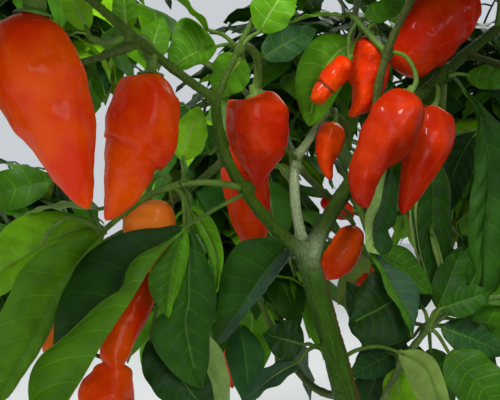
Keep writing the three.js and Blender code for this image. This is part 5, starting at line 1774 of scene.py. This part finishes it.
def build_sprays():
    random = numbers_from(SEED_OF_SPRAYS)
    for name, spray in spray_table().items():
        parts = Parts(name)
        for line in spray.get("twigs", []):
            steps = 6 * len(line)
            path = smooth_line([place(point) for point in line], steps)
            add_tube(parts.stems, path, np.linspace(2.0, 1.5, steps), SHOWN_TWIG_SIDES, TWIG_RIDGES)
        for start, base, tip, width, tone, *more in spray.get("leaves", []):
            leaf = shown_leaf(start, base, tip, width, *more)
            add_blade(parts.blades, leaf, tone, leaf["veins"], 0, random)
            add_petiole(parts.stems, leaf, 10, 1.3, 0.9, 12)
        for row in DRAWN_LEAVES.get(name, []):
            add_drawn_blade(parts.blades, row, random)
            path = [place(point) for point in row["stalk"]]
            path.append(place((*row["midrib"][1], row["back"][0])) * 0.4 + path[-1] * 0.6)
            add_tube(parts.stems, smooth_line(path, 20), np.linspace(1.3, 0.75, 20), 10)
        for key in spray.get("fruits", []):
            add_shown_fruit(parts, FRUITS[key], random)
        parts.make("_stalks")


# The pieces of a mass


def in_view(point):
    """Whether a place shows in the front view or close beside it."""
    right, up, _ = seen(point[None])
    return abs(right[0] - EYE_RIGHT) < VIEW_WIDTH * 0.6 and abs(up[0] - EYE_UP) < VIEW_WIDTH * 0.5


def draw_twig(parts, twig):
    level = twig["level"]
    steps, sides = (8, 8) if level < len(STEPS) else (6, 6)
    thick, thin = [*TWIG_RADII[:3], *FINE_RADII][level : level + 2]
    line = smooth_line(twig["line"], steps)
    if level == 0:
        line = np.vstack([line[:1] - unit(line[1] - line[0]) * 4, line])
    add_tube(parts.stems, line, np.linspace(thick, thin, len(line)), sides)


def draw_leaf(parts, leaf, random):
    leaf["wave"] = 0.15 + 0.25 * random()
    leaf["twist"] = (random() - 0.5) * 0.9
    leaf["droop"] = 0.1 + 0.5 * random()
    leaf["bow"] = np.linalg.norm(leaf["tip"] - leaf["base"]) * (0.06 + 0.1 * random())
    tone = MASS_TONES[int(random() * len(MASS_TONES))]
    grid = FINE_BLADE if in_view(leaf["base"]) else PLAIN_BLADE
    add_blade(parts.blades, leaf, tone, *grid, random)
    thick, thin = (0.9, 0.7) if leaf["width"] < SMALL_LEAF_WIDTH else (1.2, 0.9)
    add_petiole(parts.stems, leaf, 4, thick, thin, 4)


def draw_fruit(parts, fruit, random):
    start, top, tip, width = fruit["from"], fruit["top"], fruit["tip"], fruit["width"]
    shares = np.linspace(0, 1, 7)
    spine = curve(top, (top + tip) / 2 + fruit["bow"] * 2, tip, shares[:, None])
    radii = [width / 2 * max(0.12, fruit_share(min(0.97, max(0.05, share)))) for share in shares]
    tone = 0 if random() < 0.6 else 1
    add_fruit(parts.skins, spine, radii, MASS_FRUIT_GRID, random, 0.05, 0.03, tone)
    axis = unit(spine[1] - spine[0])
    bend = start + (top - start) * 0.5 + UP * 4
    path = smooth_line([start, bend, top - axis * 2, top + axis * 2], 8)
    add_tube(parts.stems, path, np.linspace(1.2, 2.0, 8), 8)
    add_calyx(parts.stems, top + axis * 0.5, axis, width * 0.2, 1.8, random, 12)


def build_masses():
    for name, (_, _, seed) in MASSES.items():
        mass = Mass(name)
        mass.grow()
        mass.refine()
        random = numbers_from(seed + SEED_OF_LOOKS)
        parts = Parts(name)
        for twig in mass.twigs:
            draw_twig(parts, twig)
        for leaf in mass.leaves:
            draw_leaf(parts, leaf, random)
        for fruit in mass.fruits:
            draw_fruit(parts, fruit, random)
        parts.make("_twigs")
        print(name, "leaves", len(mass.leaves), "twigs", len(mass.twigs), "fruit", len(mass.fruits))


# The floor, the light and the camera. Places and sizes here are metres.

FLOOR_HALF = 6.0
FLOOR_DROP = 0.0005
# Lights: place, the point each is turned to, size, power and colour
LIGHTS = {
    "key": ((-0.7, -1.2, 1.7), (-0.05, 0, 0.35), 0.5, 46, (1, 0.98, 0.94)),
    "fill": ((0.5, -1.5, 1.0), (-0.05, 0, 0.32), 0.9, 9, (1, 1, 1)),
    "back": ((0.7, 1.3, 1.7), (-0.05, 0, 0.35), 1.2, 18, (1, 1, 0.96)),
}


def build_floor():
    mesh = bpy.data.meshes.new("floor")
    corners = [(x * FLOOR_HALF, y * FLOOR_HALF, 0) for x, y in ((-1, -1), (1, -1), (1, 1), (-1, 1))]
    mesh.from_pydata(corners, [], [(0, 1, 2, 3)])
    floor = add_object("floor", mesh)
    floor.location.z = -FLOOR_DROP
    paint = Paint("floor")
    paint.connect(paint.shader, {"Base Color": (0.6, 0.61, 0.6, 1), "Roughness": 0.9})
    mesh.materials.append(paint.material)


def build_lights():
    world = bpy.data.worlds.new("studio")
    world.use_nodes = True
    background = world.node_tree.nodes["Background"].inputs
    background["Color"].default_value = (0.9, 0.95, 1.0, 1)
    background["Strength"].default_value = 0.65
    bpy.context.scene.world = world
    bpy.context.scene.view_settings.view_transform = "Standard"
    for name, (spot, aim, size, power, colour) in LIGHTS.items():
        light = bpy.data.lights.new(name, "AREA")
        light.size = size
        light.energy = power
        light.color = colour
        lamp = add_object(name, light)
        lamp.location = spot
        lamp.rotation_euler = (Vector(aim) - Vector(spot)).to_track_quat("-Z", "Y").to_euler()


def build_camera():
    data = bpy.data.cameras.new("camera")
    data.sensor_width = SENSOR_WIDTH
    data.lens = SENSOR_WIDTH * EYE_DISTANCE / VIEW_WIDTH
    data.clip_start = 0.01
    camera = add_object("camera", data)
    camera.location = ((FORK_OFFSET + EYE_RIGHT) * MM, -EYE_DISTANCE * MM, (FORK_HEIGHT + EYE_UP) * MM)
    camera.rotation_euler = (math.radians(90), 0, 0)
    bpy.context.scene.camera = camera


build_camera()
build_floor()
build_lights()
build_wood()
build_sprays()
build_masses()
